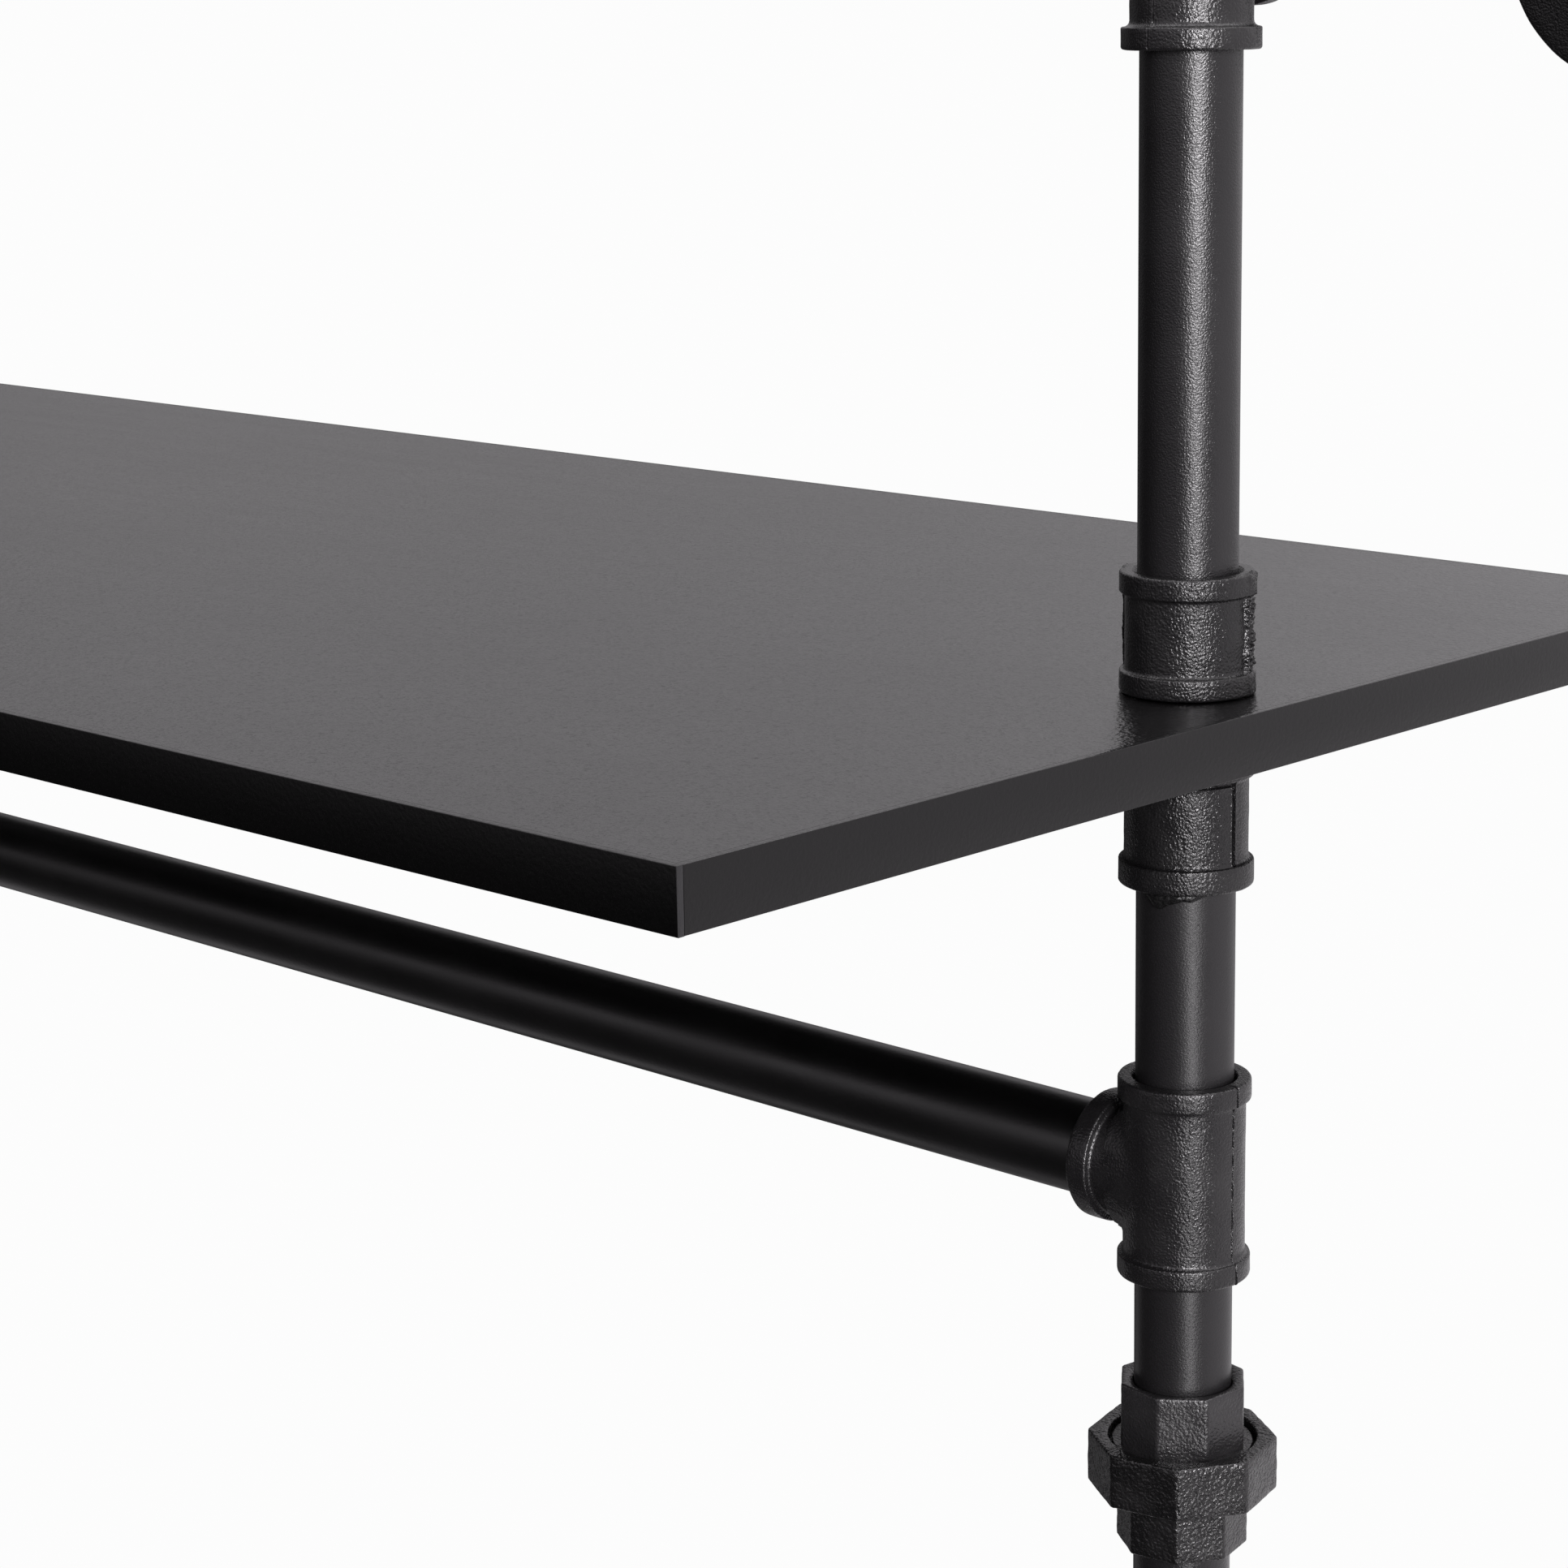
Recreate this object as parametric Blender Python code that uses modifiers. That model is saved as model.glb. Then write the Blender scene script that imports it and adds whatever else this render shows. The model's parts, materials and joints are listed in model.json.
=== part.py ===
"""Closet system of threaded pipe: two posts with cast fittings carry a shelf and a hanging rod.

Units are metres and +Z is up. The origin lies on the floor, midway between the posts, in the plane of
the posts. +Y points to the wall, and the right post is at +X.
"""

import math

import bmesh
import bpy
from mathutils import Matrix, Vector

# Pipe and thread
PIPE_OD = 0.0267
PIPE_WALL = 0.0029
THREAD_DEPTH = 0.014
THREAD_CLEARANCE = 0.0003
MOUTH_WIDENING = 0.0009
MOUTH_DEPTH = 0.0012

# Cut lengths of the pipes
RISER_LENGTH = 1.524
LINK_LENGTH = 0.0588
HANGER_LENGTH = 0.082
UPPER_LENGTH = 0.163
ROD_LENGTH = 1.2192

# Shelf
SHELF_DEPTH = 0.440
SHELF_THICKNESS = 0.016
SHELF_OVERHANG = 0.0315
SHELF_HOLE_CLEARANCE = 0.0008
BAND_THICKNESS = 0.002
GLUE_LINE = 0.0001
SEAT_GAP = 0.0003

# Beads that stiffen the mouths of the cast fittings
BEAD_RADIUS = 0.0181
BEAD_WIDTH = 0.0058
BEAD_ROUNDING = 0.0009
BODY_RADIUS = 0.0166

# Couplings, tee and elbow
UPPER_COUPLING_LENGTH = 0.0323
LOWER_COUPLING_LENGTH = 0.0355
TEE_RUN_LENGTH = 0.0556
TEE_BRANCH_REACH = 0.0270
TEE_NECK_RADIUS = 0.0160
TEE_FILLET = 0.0038
ELBOW_REACH = 0.0288
ELBOW_BODY_RADIUS = 0.0159
ELBOW_BEND_RADIUS = 0.0180

# Union: two octagonal ends drawn together by an octagonal nut
OCTAGON_FLATS = 0.0334
OCTAGON_BEVEL = 0.0006
SOCKET_OCTAGON_HEIGHT = 0.0157
TAIL_OCTAGON_HEIGHT = 0.0201
NUT_FLATS = 0.0483
NUT_HEIGHT = 0.0150
NUT_BEVEL = 0.0008
NUT_LIP = 0.0034
NUT_LIP_RADIUS = 0.0204
UNION_THREAD_RADIUS = 0.0219
SPIGOT_HEIGHT = 0.0068
SHOULDER_HEIGHT = 0.0045
COLLAR_RADIUS = 0.0194
COLLAR_HEIGHT = 0.0023
SEAT_CONE_OUTER = 0.0180
SEAT_CONE_INNER = 0.0160
SEAT_CONE_HEIGHT = 0.0015
SOCKET_TURN = math.radians(-12)
NUT_TURN = math.radians(-10)
TAIL_TURN = math.radians(15)

# Floor and wall flanges
FLANGE_RADIUS = 0.0445
FLANGE_PLATE = 0.0048
FLANGE_HEIGHT = 0.0170
FLANGE_HUB_RADIUS = 0.0180
FLANGE_HUB_FILLET = 0.0030
FLANGE_RIM_ROUNDING = 0.0010
SCREW_CIRCLE_RADIUS = 0.0330
SCREW_HOLE_RADIUS = 0.0032
SCREW_HOLES = 4

# Fineness of the round shapes
ROUND_STEPS = 24
BEND_STEPS = 5
PASSAGE_STEPS = 3
HOLE_STEPS = 8
CUT_MARGIN = 0.001
MERGE_DISTANCE = 0.00001

# Sizes that follow from those above
PIPE_RADIUS = PIPE_OD / 2
BORE_RADIUS = PIPE_RADIUS + THREAD_CLEARANCE
MOUTH_RADIUS = BORE_RADIUS + MOUTH_WIDENING
PIPE_END_IN_FLANGE = FLANGE_HEIGHT - THREAD_DEPTH
POST_SPACING = ROD_LENGTH + 2 * (TEE_BRANCH_REACH - THREAD_DEPTH)
SHELF_LENGTH = POST_SPACING + 2 * SHELF_OVERHANG
SHELF_NIPPLE_LENGTH = SHELF_THICKNESS + 2 * (SEAT_GAP + THREAD_DEPTH)
ELBOW_PASSAGE_BEND = ELBOW_REACH - THREAD_DEPTH - SEAT_GAP
WALL_PLANE = SHELF_DEPTH / 2
WALL_ARM_START = ELBOW_REACH - THREAD_DEPTH
WALL_ARM_LENGTH = WALL_PLANE - PIPE_END_IN_FLANGE - WALL_ARM_START

# Union heights above the bottom of its socket
NUT_BOTTOM = SOCKET_OCTAGON_HEIGHT + SEAT_GAP
SPIGOT_TOP = SOCKET_OCTAGON_HEIGHT + SPIGOT_HEIGHT
SHOULDER_BOTTOM = SPIGOT_TOP + SEAT_GAP
SHOULDER_TOP = SHOULDER_BOTTOM + SHOULDER_HEIGHT
UNION_LENGTH = SHOULDER_TOP + TAIL_OCTAGON_HEIGHT

# Heights of the pieces of a post, stacked up from the floor
RISER_BASE = PIPE_END_IN_FLANGE
UNION_BASE = RISER_BASE + RISER_LENGTH - THREAD_DEPTH
LINK_BASE = UNION_BASE + UNION_LENGTH - THREAD_DEPTH
TEE_CENTRE = LINK_BASE + LINK_LENGTH - THREAD_DEPTH + TEE_RUN_LENGTH / 2
HANGER_BASE = TEE_CENTRE + TEE_RUN_LENGTH / 2 - THREAD_DEPTH
LOWER_COUPLING_BASE = HANGER_BASE + HANGER_LENGTH - THREAD_DEPTH
SHELF_BASE = LOWER_COUPLING_BASE + LOWER_COUPLING_LENGTH + SEAT_GAP
SHELF_NIPPLE_BASE = SHELF_BASE - SEAT_GAP - THREAD_DEPTH
UPPER_COUPLING_BASE = SHELF_BASE + SHELF_THICKNESS + SEAT_GAP
UPPER_BASE = UPPER_COUPLING_BASE + UPPER_COUPLING_LENGTH - THREAD_DEPTH
ELBOW_CENTRE = UPPER_BASE + UPPER_LENGTH - THREAD_DEPTH + ELBOW_REACH


def clear_scene():
    """Remove every object that the new file starts with."""
    for item in list(bpy.data.objects):
        bpy.data.objects.remove(item, do_unlink=True)


def new_collection(name):
    """Make a collection in the scene."""
    collection = bpy.data.collections.new(name)
    bpy.context.scene.collection.children.link(collection)
    return collection


def finish(name, colour, roughness, metallic):
    """Make a Principled material of one colour."""
    material = bpy.data.materials.new(name)
    material.use_nodes = True
    shader = material.node_tree.nodes["Principled BSDF"]
    shader.inputs["Base Color"].default_value = (*colour, 1.0)
    shader.inputs["Roughness"].default_value = roughness
    shader.inputs["Metallic"].default_value = metallic
    return material


def pattern(name, mesh):
    """Keep a mesh as a hidden pattern at the origin, to be turned, cut or copied."""
    item = bpy.data.objects.new(name, mesh)
    item.hide_render = True
    item.display_type = "WIRE"
    patterns.objects.link(item)
    return item


def evaluated_mesh(item):
    """Give a pattern's mesh with its modifiers worked in and doubled corners merged."""
    graph = bpy.context.evaluated_depsgraph_get()
    mesh = bpy.data.meshes.new_from_object(item.evaluated_get(graph))
    mesh.name = item.name + "_mesh"
    shape = bmesh.new()
    shape.from_mesh(mesh)
    bmesh.ops.remove_doubles(shape, verts=shape.verts, dist=MERGE_DISTANCE)
    bmesh.ops.dissolve_degenerate(shape, edges=shape.edges, dist=MERGE_DISTANCE)
    shape.to_mesh(mesh)
    shape.free()
    return mesh


def turned(name, profile, closed=True):
    """Turn a profile of (radius, height) points about Z.

    The points run down the outer side, and a closed profile comes back up the bore.
    """
    mesh = bpy.data.meshes.new(name + "_profile")
    count = len(profile)
    edges = [(index, (index + 1) % count) for index in range(count if closed else count - 1)]
    mesh.from_pydata([(radius, 0.0, height) for radius, height in profile], edges, [])
    item = pattern(name, mesh)
    screw = item.modifiers.new("turn", "SCREW")
    screw.steps = ROUND_STEPS
    screw.render_steps = ROUND_STEPS
    screw.use_merge_vertices = True
    screw.merge_threshold = MERGE_DISTANCE
    return item


def joined(item, tool, operation):
    """Add a Boolean that joins a tool to a pattern or cuts it away."""
    boolean = item.modifiers.new(operation.lower(), "BOOLEAN")
    boolean.operation = operation
    boolean.solver = "EXACT"
    boolean.object = tool


def octagon(name, flats, base, height, bevel, turn):
    """Make an octagonal bar with eased edges, standing on the given height."""
    radius = flats / 2 / math.cos(math.pi / 8)
    shape = bmesh.new()
    place_bar = Matrix.Translation((0, 0, base + height / 2)) @ Matrix.Rotation(turn, 4, "Z")
    bmesh.ops.create_cone(shape, cap_ends=True, segments=8, radius1=radius, radius2=radius,
                          depth=height, matrix=place_bar)
    mesh = bpy.data.meshes.new(name)
    shape.to_mesh(mesh)
    shape.free()
    item = pattern(name, mesh)
    ease = item.modifiers.new("eased edges", "BEVEL")
    ease.width = bevel
    ease.segments = 1
    return item


def cylinder(name, radius, base, height, steps=ROUND_STEPS):
    """Make an upright cylinder that stands on the given height."""
    shape = bmesh.new()
    bmesh.ops.create_cone(shape, cap_ends=True, segments=steps, radius1=radius, radius2=radius,
                          depth=height, matrix=Matrix.Translation((0, 0, base + height / 2)))
    mesh = bpy.data.meshes.new(name)
    shape.to_mesh(mesh)
    shape.free()
    return pattern(name, mesh)


def loft(name, rings, closed):
    """Skin a row of rings; a closed row forms a tube, an open one gets end caps."""
    shape = bmesh.new()
    rows = [[shape.verts.new(point) for point in ring] for ring in rings]
    pairs = list(zip(rows, rows[1:]))
    if closed:
        pairs.append((rows[-1], rows[0]))
    for near, far in pairs:
        for index in range(len(near)):
            after = (index + 1) % len(near)
            shape.faces.new((near[index], near[after], far[after], far[index]))
    if not closed:
        shape.faces.new(reversed(rows[0]))
        shape.faces.new(rows[-1])
    bmesh.ops.recalc_face_normals(shape, faces=shape.faces)
    mesh = bpy.data.meshes.new(name)
    shape.to_mesh(mesh)
    shape.free()
    return pattern(name, mesh)


def bead(face, inward, body_radius):
    """Give the (radius, place) points of a mouth's bead, from its face inwards.

    Face is the place of the mouth's face, and inward is 1 or -1 along the same axis.
    """
    step = BEAD_RADIUS - body_radius
    return [
        (BEAD_RADIUS - BEAD_ROUNDING, face),
        (BEAD_RADIUS, face + inward * BEAD_ROUNDING),
        (BEAD_RADIUS, face + inward * BEAD_WIDTH),
        (body_radius, face + inward * (BEAD_WIDTH + step)),
    ]


def bore(bottom, top):
    """Give the (radius, height) points of a threaded bore with widened mouths, going up."""
    return [
        (MOUTH_RADIUS, bottom),
        (BORE_RADIUS, bottom + MOUTH_DEPTH),
        (BORE_RADIUS, top - MOUTH_DEPTH),
        (MOUTH_RADIUS, top),
    ]


def tube_mesh(name, length):
    """Make a length of pipe that stands on its lower end."""
    inner = PIPE_RADIUS - PIPE_WALL
    profile = [(PIPE_RADIUS, length), (PIPE_RADIUS, 0.0), (inner, 0.0), (inner, length)]
    return evaluated_mesh(turned(name, profile))


def coupling_mesh(name, length):
    """Make a beaded coupling that stands on its lower mouth."""
    upper = bead(length, -1, BODY_RADIUS)
    lower = list(reversed(bead(0.0, 1, BODY_RADIUS)))
    return evaluated_mesh(turned(name, upper + lower + bore(0.0, length)))


def mouth(face, outward):
    """Give the (radius, place) points of a cutter's widened mouth, from its bore out past the face."""
    flare = MOUTH_RADIUS + MOUTH_WIDENING * CUT_MARGIN / MOUTH_DEPTH
    return [(BORE_RADIUS, face - outward * MOUTH_DEPTH), (flare, face + outward * CUT_MARGIN)]


def bore_cutter(name, top_points, bottom_points):
    """Make a cutter for a bore from the points of its two ends, each running outwards."""
    wall = list(reversed(top_points)) + bottom_points
    return turned(name, [(0.0, wall[0][1])] + wall + [(0.0, wall[-1][1])], closed=False)


def tee_branch(name):
    """Loft the tee's branch along -X: a beaded mouth and a neck that flares into the run.

    The neck widens only upwards and downwards, so its cheeks stay within the run. It ends sunk in the run.
    """
    sections = [(-place, radius, radius) for radius, place in bead(TEE_BRANCH_REACH, -1, TEE_NECK_RADIUS)]
    flare_start = BODY_RADIUS - CUT_MARGIN / 2 + TEE_FILLET
    for step in range(1, BEND_STEPS):
        angle = math.pi / 2 * step / (BEND_STEPS - 1)
        place = flare_start - TEE_FILLET * math.sin(angle)
        widening = TEE_FILLET * (1 - math.cos(angle))
        sections.append((-place, TEE_NECK_RADIUS, TEE_NECK_RADIUS + widening))
    sections.append((0.0, TEE_NECK_RADIUS, TEE_NECK_RADIUS + TEE_FILLET))
    rings = []
    for place, half_width, half_height in sections:
        turns = [2 * math.pi * (index + 0.5) / ROUND_STEPS for index in range(ROUND_STEPS)]
        rings.append([(place, half_width * math.cos(a), half_height * math.sin(a)) for a in turns])
    return loft(name, rings, closed=False)


def tee_mesh(name):
    """Make the tee, centred on the crossing of its axes, with its branch towards -X."""
    end = TEE_RUN_LENGTH / 2
    outside = bead(end, -1, BODY_RADIUS) + list(reversed(bead(-end, 1, BODY_RADIUS)))
    run = turned(name, [(0.0, end)] + outside + [(0.0, -end)], closed=False)
    joined(run, tee_branch(name + "_branch"), "UNION")
    joined(run, bore_cutter(name + "_run_bore", mouth(end, 1), mouth(-end, -1)), "DIFFERENCE")
    stop = TEE_BRANCH_REACH - THREAD_DEPTH - SEAT_GAP
    passage = PIPE_RADIUS - PIPE_WALL
    inner_end = [(BORE_RADIUS, -stop), (passage, -stop), (passage, 0.0)]
    branch_bore = bore_cutter(name + "_branch_bore", inner_end, mouth(-TEE_BRANCH_REACH, -1))
    half_step = Matrix.Rotation(math.pi / ROUND_STEPS, 4, "Z")
    branch_bore.matrix_world = Matrix.Rotation(math.pi / 2, 4, "Y") @ half_step
    joined(run, branch_bore, "DIFFERENCE")
    return evaluated_mesh(run)


def elbow_point(distance, radius, angle, bend_radius):
    """Give a point on a ring round an elbow-shaped path.

    The path rises from the lower mouth, bends to +Y and ends at the wall mouth. Distance is counted
    from the middle of the bend.
    """
    half_bend = bend_radius * math.pi / 4
    if abs(distance) <= half_bend:
        turn = math.pi / 4 + distance / bend_radius
        beyond = 0.0
    else:
        turn = math.pi / 2 if distance > 0 else 0.0
        beyond = abs(distance) - half_bend
    ahead = Vector((0.0, math.sin(turn), math.cos(turn)))
    outward = Vector((0.0, -math.cos(turn), math.sin(turn)))
    bend_centre = Vector((0.0, bend_radius, -bend_radius))
    centre = bend_centre + bend_radius * outward + math.copysign(beyond, distance) * ahead
    sideways = Vector((1.0, 0.0, 0.0))
    return centre + radius * (math.cos(angle) * sideways + math.sin(angle) * outward)


def elbow_rings(sections, bend_radius):
    """Turn (radius, distance) sections into rings round an elbow-shaped path."""
    turns = [2 * math.pi * index / ROUND_STEPS for index in range(ROUND_STEPS)]
    return [[elbow_point(distance, radius, a, bend_radius) for a in turns] for radius, distance in sections]


def elbow_mesh(name):
    """Make the elbow, centred on the crossing of its axes, with mouths towards -Z and +Y.

    Each mouth is bored for the thread, and a narrower passage joins the two sockets.
    """
    steps = [2 * step / BEND_STEPS - 1 for step in range(BEND_STEPS + 1)]
    passage_steps = [2 * step / PASSAGE_STEPS - 1 for step in range(PASSAGE_STEPS + 1)]
    half_bend = ELBOW_BEND_RADIUS * math.pi / 4
    end = half_bend + ELBOW_REACH - ELBOW_BEND_RADIUS
    outside = bead(-end, 1, ELBOW_BODY_RADIUS)
    outside += [(ELBOW_BODY_RADIUS, half_bend * step) for step in steps]
    outside += list(reversed(bead(end, -1, ELBOW_BODY_RADIUS)))
    half_passage = ELBOW_PASSAGE_BEND * math.pi / 4
    face = half_passage + ELBOW_REACH - ELBOW_PASSAGE_BEND
    wall_socket = [(MOUTH_RADIUS, face), (BORE_RADIUS, face - MOUTH_DEPTH), (BORE_RADIUS, half_passage)]
    post_socket = [(radius, -distance) for radius, distance in reversed(wall_socket)]
    passage = [(PIPE_RADIUS - PIPE_WALL, half_passage * step) for step in reversed(passage_steps)]
    inside = wall_socket + passage + post_socket
    rings = elbow_rings(outside, ELBOW_BEND_RADIUS) + elbow_rings(inside, ELBOW_PASSAGE_BEND)
    return evaluated_mesh(loft(name, rings, closed=True))


def union_socket_mesh(name):
    """Make the union's lower end: octagonal wrench end, threaded spigot and hollow cone seat."""
    seat_floor = SPIGOT_TOP - SEAT_CONE_HEIGHT
    spigot_profile = [
        (0.0, seat_floor),
        (SEAT_CONE_INNER, seat_floor),
        (SEAT_CONE_OUTER, SPIGOT_TOP),
        (UNION_THREAD_RADIUS, SPIGOT_TOP),
        (UNION_THREAD_RADIUS, SOCKET_OCTAGON_HEIGHT),
        (0.0, SOCKET_OCTAGON_HEIGHT),
    ]
    socket = octagon(name, OCTAGON_FLATS, 0.0,
                     SOCKET_OCTAGON_HEIGHT + 2 * OCTAGON_BEVEL, OCTAGON_BEVEL, SOCKET_TURN)
    joined(socket, turned(name + "_spigot", spigot_profile, closed=False), "UNION")
    top_end = [(BORE_RADIUS, SPIGOT_TOP + CUT_MARGIN)]
    joined(socket, bore_cutter(name + "_bore", top_end, mouth(0.0, -1)), "DIFFERENCE")
    return evaluated_mesh(socket)


def union_tail_mesh(name):
    """Make the union's upper end: octagonal wrench end, collar, shoulder under the nut and cone nose."""
    nose = SHOULDER_BOTTOM - SEAT_CONE_HEIGHT
    shoulder_profile = [
        (0.0, SHOULDER_TOP + COLLAR_HEIGHT),
        (COLLAR_RADIUS, SHOULDER_TOP + COLLAR_HEIGHT),
        (COLLAR_RADIUS, SHOULDER_TOP),
        (UNION_THREAD_RADIUS, SHOULDER_TOP),
        (UNION_THREAD_RADIUS, SHOULDER_BOTTOM),
        (SEAT_CONE_OUTER, SHOULDER_BOTTOM),
        (SEAT_CONE_INNER, nose),
        (0.0, nose),
    ]
    tail = octagon(name, OCTAGON_FLATS, SHOULDER_TOP - 2 * OCTAGON_BEVEL,
                   TAIL_OCTAGON_HEIGHT + 2 * OCTAGON_BEVEL, OCTAGON_BEVEL, TAIL_TURN)
    joined(tail, turned(name + "_shoulder", shoulder_profile, closed=False), "UNION")
    bottom_end = [(BORE_RADIUS, nose - CUT_MARGIN)]
    joined(tail, bore_cutter(name + "_bore", mouth(UNION_LENGTH, 1), bottom_end), "DIFFERENCE")
    return evaluated_mesh(tail)


def union_nut_mesh(name):
    """Make the octagonal nut, with a lip over the tail's shoulder and a bore for the thread."""
    lip_bottom = NUT_HEIGHT - NUT_LIP
    thread_bore = UNION_THREAD_RADIUS + THREAD_CLEARANCE
    hole_profile = [
        (0.0, NUT_HEIGHT + CUT_MARGIN),
        (NUT_LIP_RADIUS, NUT_HEIGHT + CUT_MARGIN),
        (NUT_LIP_RADIUS, lip_bottom),
        (thread_bore, lip_bottom),
        (thread_bore, -CUT_MARGIN),
        (0.0, -CUT_MARGIN),
    ]
    nut = octagon(name, NUT_FLATS, 0.0, NUT_HEIGHT, NUT_BEVEL, NUT_TURN)
    joined(nut, turned(name + "_hole", hole_profile, closed=False), "DIFFERENCE")
    return evaluated_mesh(nut)


def flange_mesh(name):
    """Make a flange that lies on its flat face, with its hub up and screw holes through its plate."""
    hub_side = FLANGE_PLATE + FLANGE_HUB_FILLET
    profile = [
        (FLANGE_HUB_RADIUS - BEAD_ROUNDING, FLANGE_HEIGHT),
        (FLANGE_HUB_RADIUS, FLANGE_HEIGHT - BEAD_ROUNDING),
        (FLANGE_HUB_RADIUS, hub_side),
        (FLANGE_HUB_RADIUS + FLANGE_HUB_FILLET, FLANGE_PLATE),
        (FLANGE_RADIUS - FLANGE_RIM_ROUNDING, FLANGE_PLATE),
        (FLANGE_RADIUS, FLANGE_PLATE - FLANGE_RIM_ROUNDING),
        (FLANGE_RADIUS, 0.0),
        (BORE_RADIUS, 0.0),
        (BORE_RADIUS, FLANGE_HEIGHT - MOUTH_DEPTH),
        (MOUTH_RADIUS, FLANGE_HEIGHT),
    ]
    plate = turned(name, profile)
    for index in range(SCREW_HOLES):
        angle = 2 * math.pi * index / SCREW_HOLES
        drill = cylinder(f"{name}_hole_{index}", SCREW_HOLE_RADIUS, -CUT_MARGIN,
                         FLANGE_PLATE + 2 * CUT_MARGIN, HOLE_STEPS)
        drill.location = (SCREW_CIRCLE_RADIUS * math.cos(angle), SCREW_CIRCLE_RADIUS * math.sin(angle), 0.0)
        joined(plate, drill, "DIFFERENCE")
    return evaluated_mesh(plate)


def box_mesh(name, size):
    """Make a box centred on the origin."""
    shape = bmesh.new()
    bmesh.ops.create_cube(shape, size=1.0, matrix=Matrix.Diagonal((*size, 1.0)))
    mesh = bpy.data.meshes.new(name)
    shape.to_mesh(mesh)
    shape.free()
    return mesh


def place(name, mesh, material, location, rotation=(0.0, 0.0, 0.0), parent=None):
    """Put a named piece into the closet, smooth on its round sides."""
    item = bpy.data.objects.new(name, mesh)
    closet.objects.link(item)
    item.location = location
    item.rotation_euler = rotation
    item.parent = parent
    if not mesh.materials:
        mesh.materials.append(material)
    mesh.shade_smooth()
    mesh.set_sharp_from_angle(angle=math.radians(35))
    return item


def build_post(side, post_x):
    """Stack one post from the floor flange up to the wall flange."""
    post = bpy.data.objects.new(side + "_post", None)
    post.location = (post_x, 0.0, 0.0)
    closet.objects.link(post)
    tee_turn = 0.0 if post_x > 0 else math.pi
    to_wall = (-math.pi / 2, 0.0, 0.0)
    from_wall = (math.pi / 2, 0.0, 0.0)
    stack = [
        ("floor_flange", flange, cast, 0.0),
        ("riser_pipe", riser, pipe, RISER_BASE),
        ("union_socket", union_socket, cast, UNION_BASE),
        ("union_nut", union_nut, cast, UNION_BASE + NUT_BOTTOM),
        ("union_tail", union_tail, cast, UNION_BASE),
        ("link_nipple", link, pipe, LINK_BASE),
        ("hanger_nipple", hanger, pipe, HANGER_BASE),
        ("lower_coupling", lower_coupling, cast, LOWER_COUPLING_BASE),
        ("shelf_nipple", shelf_nipple, pipe, SHELF_NIPPLE_BASE),
        ("upper_coupling", upper_coupling, cast, UPPER_COUPLING_BASE),
        ("upper_pipe", upper, pipe, UPPER_BASE),
        ("elbow", elbow, cast, ELBOW_CENTRE),
    ]
    for word, mesh, material, height in stack:
        place(f"{side}_{word}", mesh, material, (0.0, 0.0, height), parent=post)
    place(f"{side}_tee", tee, cast, (0.0, 0.0, TEE_CENTRE), (0.0, 0.0, tee_turn), post)
    place(f"{side}_wall_arm", wall_arm, pipe, (0.0, WALL_ARM_START, ELBOW_CENTRE), to_wall, post)
    place(f"{side}_wall_flange", flange, cast, (0.0, WALL_PLANE, ELBOW_CENTRE), from_wall, post)


def build_rod():
    """Run the hanging rod from tee to tee."""
    place("hanging_rod", rod, pipe, (-ROD_LENGTH / 2, 0.0, TEE_CENTRE), (0.0, math.pi / 2, 0.0))


def build_shelf():
    """Lay the shelf: a board bored for the posts, with a band glued to each edge."""
    middle = SHELF_BASE + SHELF_THICKNESS / 2
    edge = BAND_THICKNESS + GLUE_LINE
    board_length = SHELF_LENGTH - 2 * edge
    board_depth = SHELF_DEPTH - 2 * edge
    board_mesh = box_mesh("shelf_board", (board_length, board_depth, SHELF_THICKNESS))
    board = place("shelf_board", board_mesh, laminate, (0.0, 0.0, middle))
    for side, post_x in posts:
        drill = cylinder(side + "_shelf_hole", PIPE_RADIUS + SHELF_HOLE_CLEARANCE,
                         SHELF_BASE - CUT_MARGIN, SHELF_THICKNESS + 2 * CUT_MARGIN)
        drill.location = (post_x, 0.0, 0.0)
        joined(board, drill, "DIFFERENCE")
    long_band = box_mesh("long_band", (SHELF_LENGTH, BAND_THICKNESS, SHELF_THICKNESS))
    end_band = box_mesh("end_band", (BAND_THICKNESS, board_depth, SHELF_THICKNESS))
    long_band_y = (SHELF_DEPTH - BAND_THICKNESS) / 2
    end_band_x = (SHELF_LENGTH - BAND_THICKNESS) / 2
    place("front_edge_band", long_band, edging, (0.0, -long_band_y, middle))
    place("back_edge_band", long_band, edging, (0.0, long_band_y, middle))
    place("left_edge_band", end_band, edging, (-end_band_x, 0.0, middle))
    place("right_edge_band", end_band, edging, (end_band_x, 0.0, middle))


clear_scene()
closet = new_collection("closet_system")
patterns = new_collection("patterns_and_cutters")

pipe = finish("black satin pipe", (0.022, 0.022, 0.024), 0.42, 0.0)
cast = finish("black cast fitting", (0.020, 0.020, 0.022), 0.50, 0.0)
laminate = finish("black laminate", (0.020, 0.019, 0.019), 0.45, 0.0)
edging = finish("black edge band", (0.018, 0.018, 0.018), 0.50, 0.0)

flange = flange_mesh("flange")
riser = tube_mesh("riser", RISER_LENGTH)
link = tube_mesh("link", LINK_LENGTH)
hanger = tube_mesh("hanger", HANGER_LENGTH)
shelf_nipple = tube_mesh("shelf_nipple", SHELF_NIPPLE_LENGTH)
upper = tube_mesh("upper", UPPER_LENGTH)
wall_arm = tube_mesh("wall_arm", WALL_ARM_LENGTH)
rod = tube_mesh("rod", ROD_LENGTH)
lower_coupling = coupling_mesh("lower_coupling", LOWER_COUPLING_LENGTH)
upper_coupling = coupling_mesh("upper_coupling", UPPER_COUPLING_LENGTH)
tee = tee_mesh("tee")
elbow = elbow_mesh("elbow")
union_socket = union_socket_mesh("union_socket")
union_nut = union_nut_mesh("union_nut")
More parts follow.
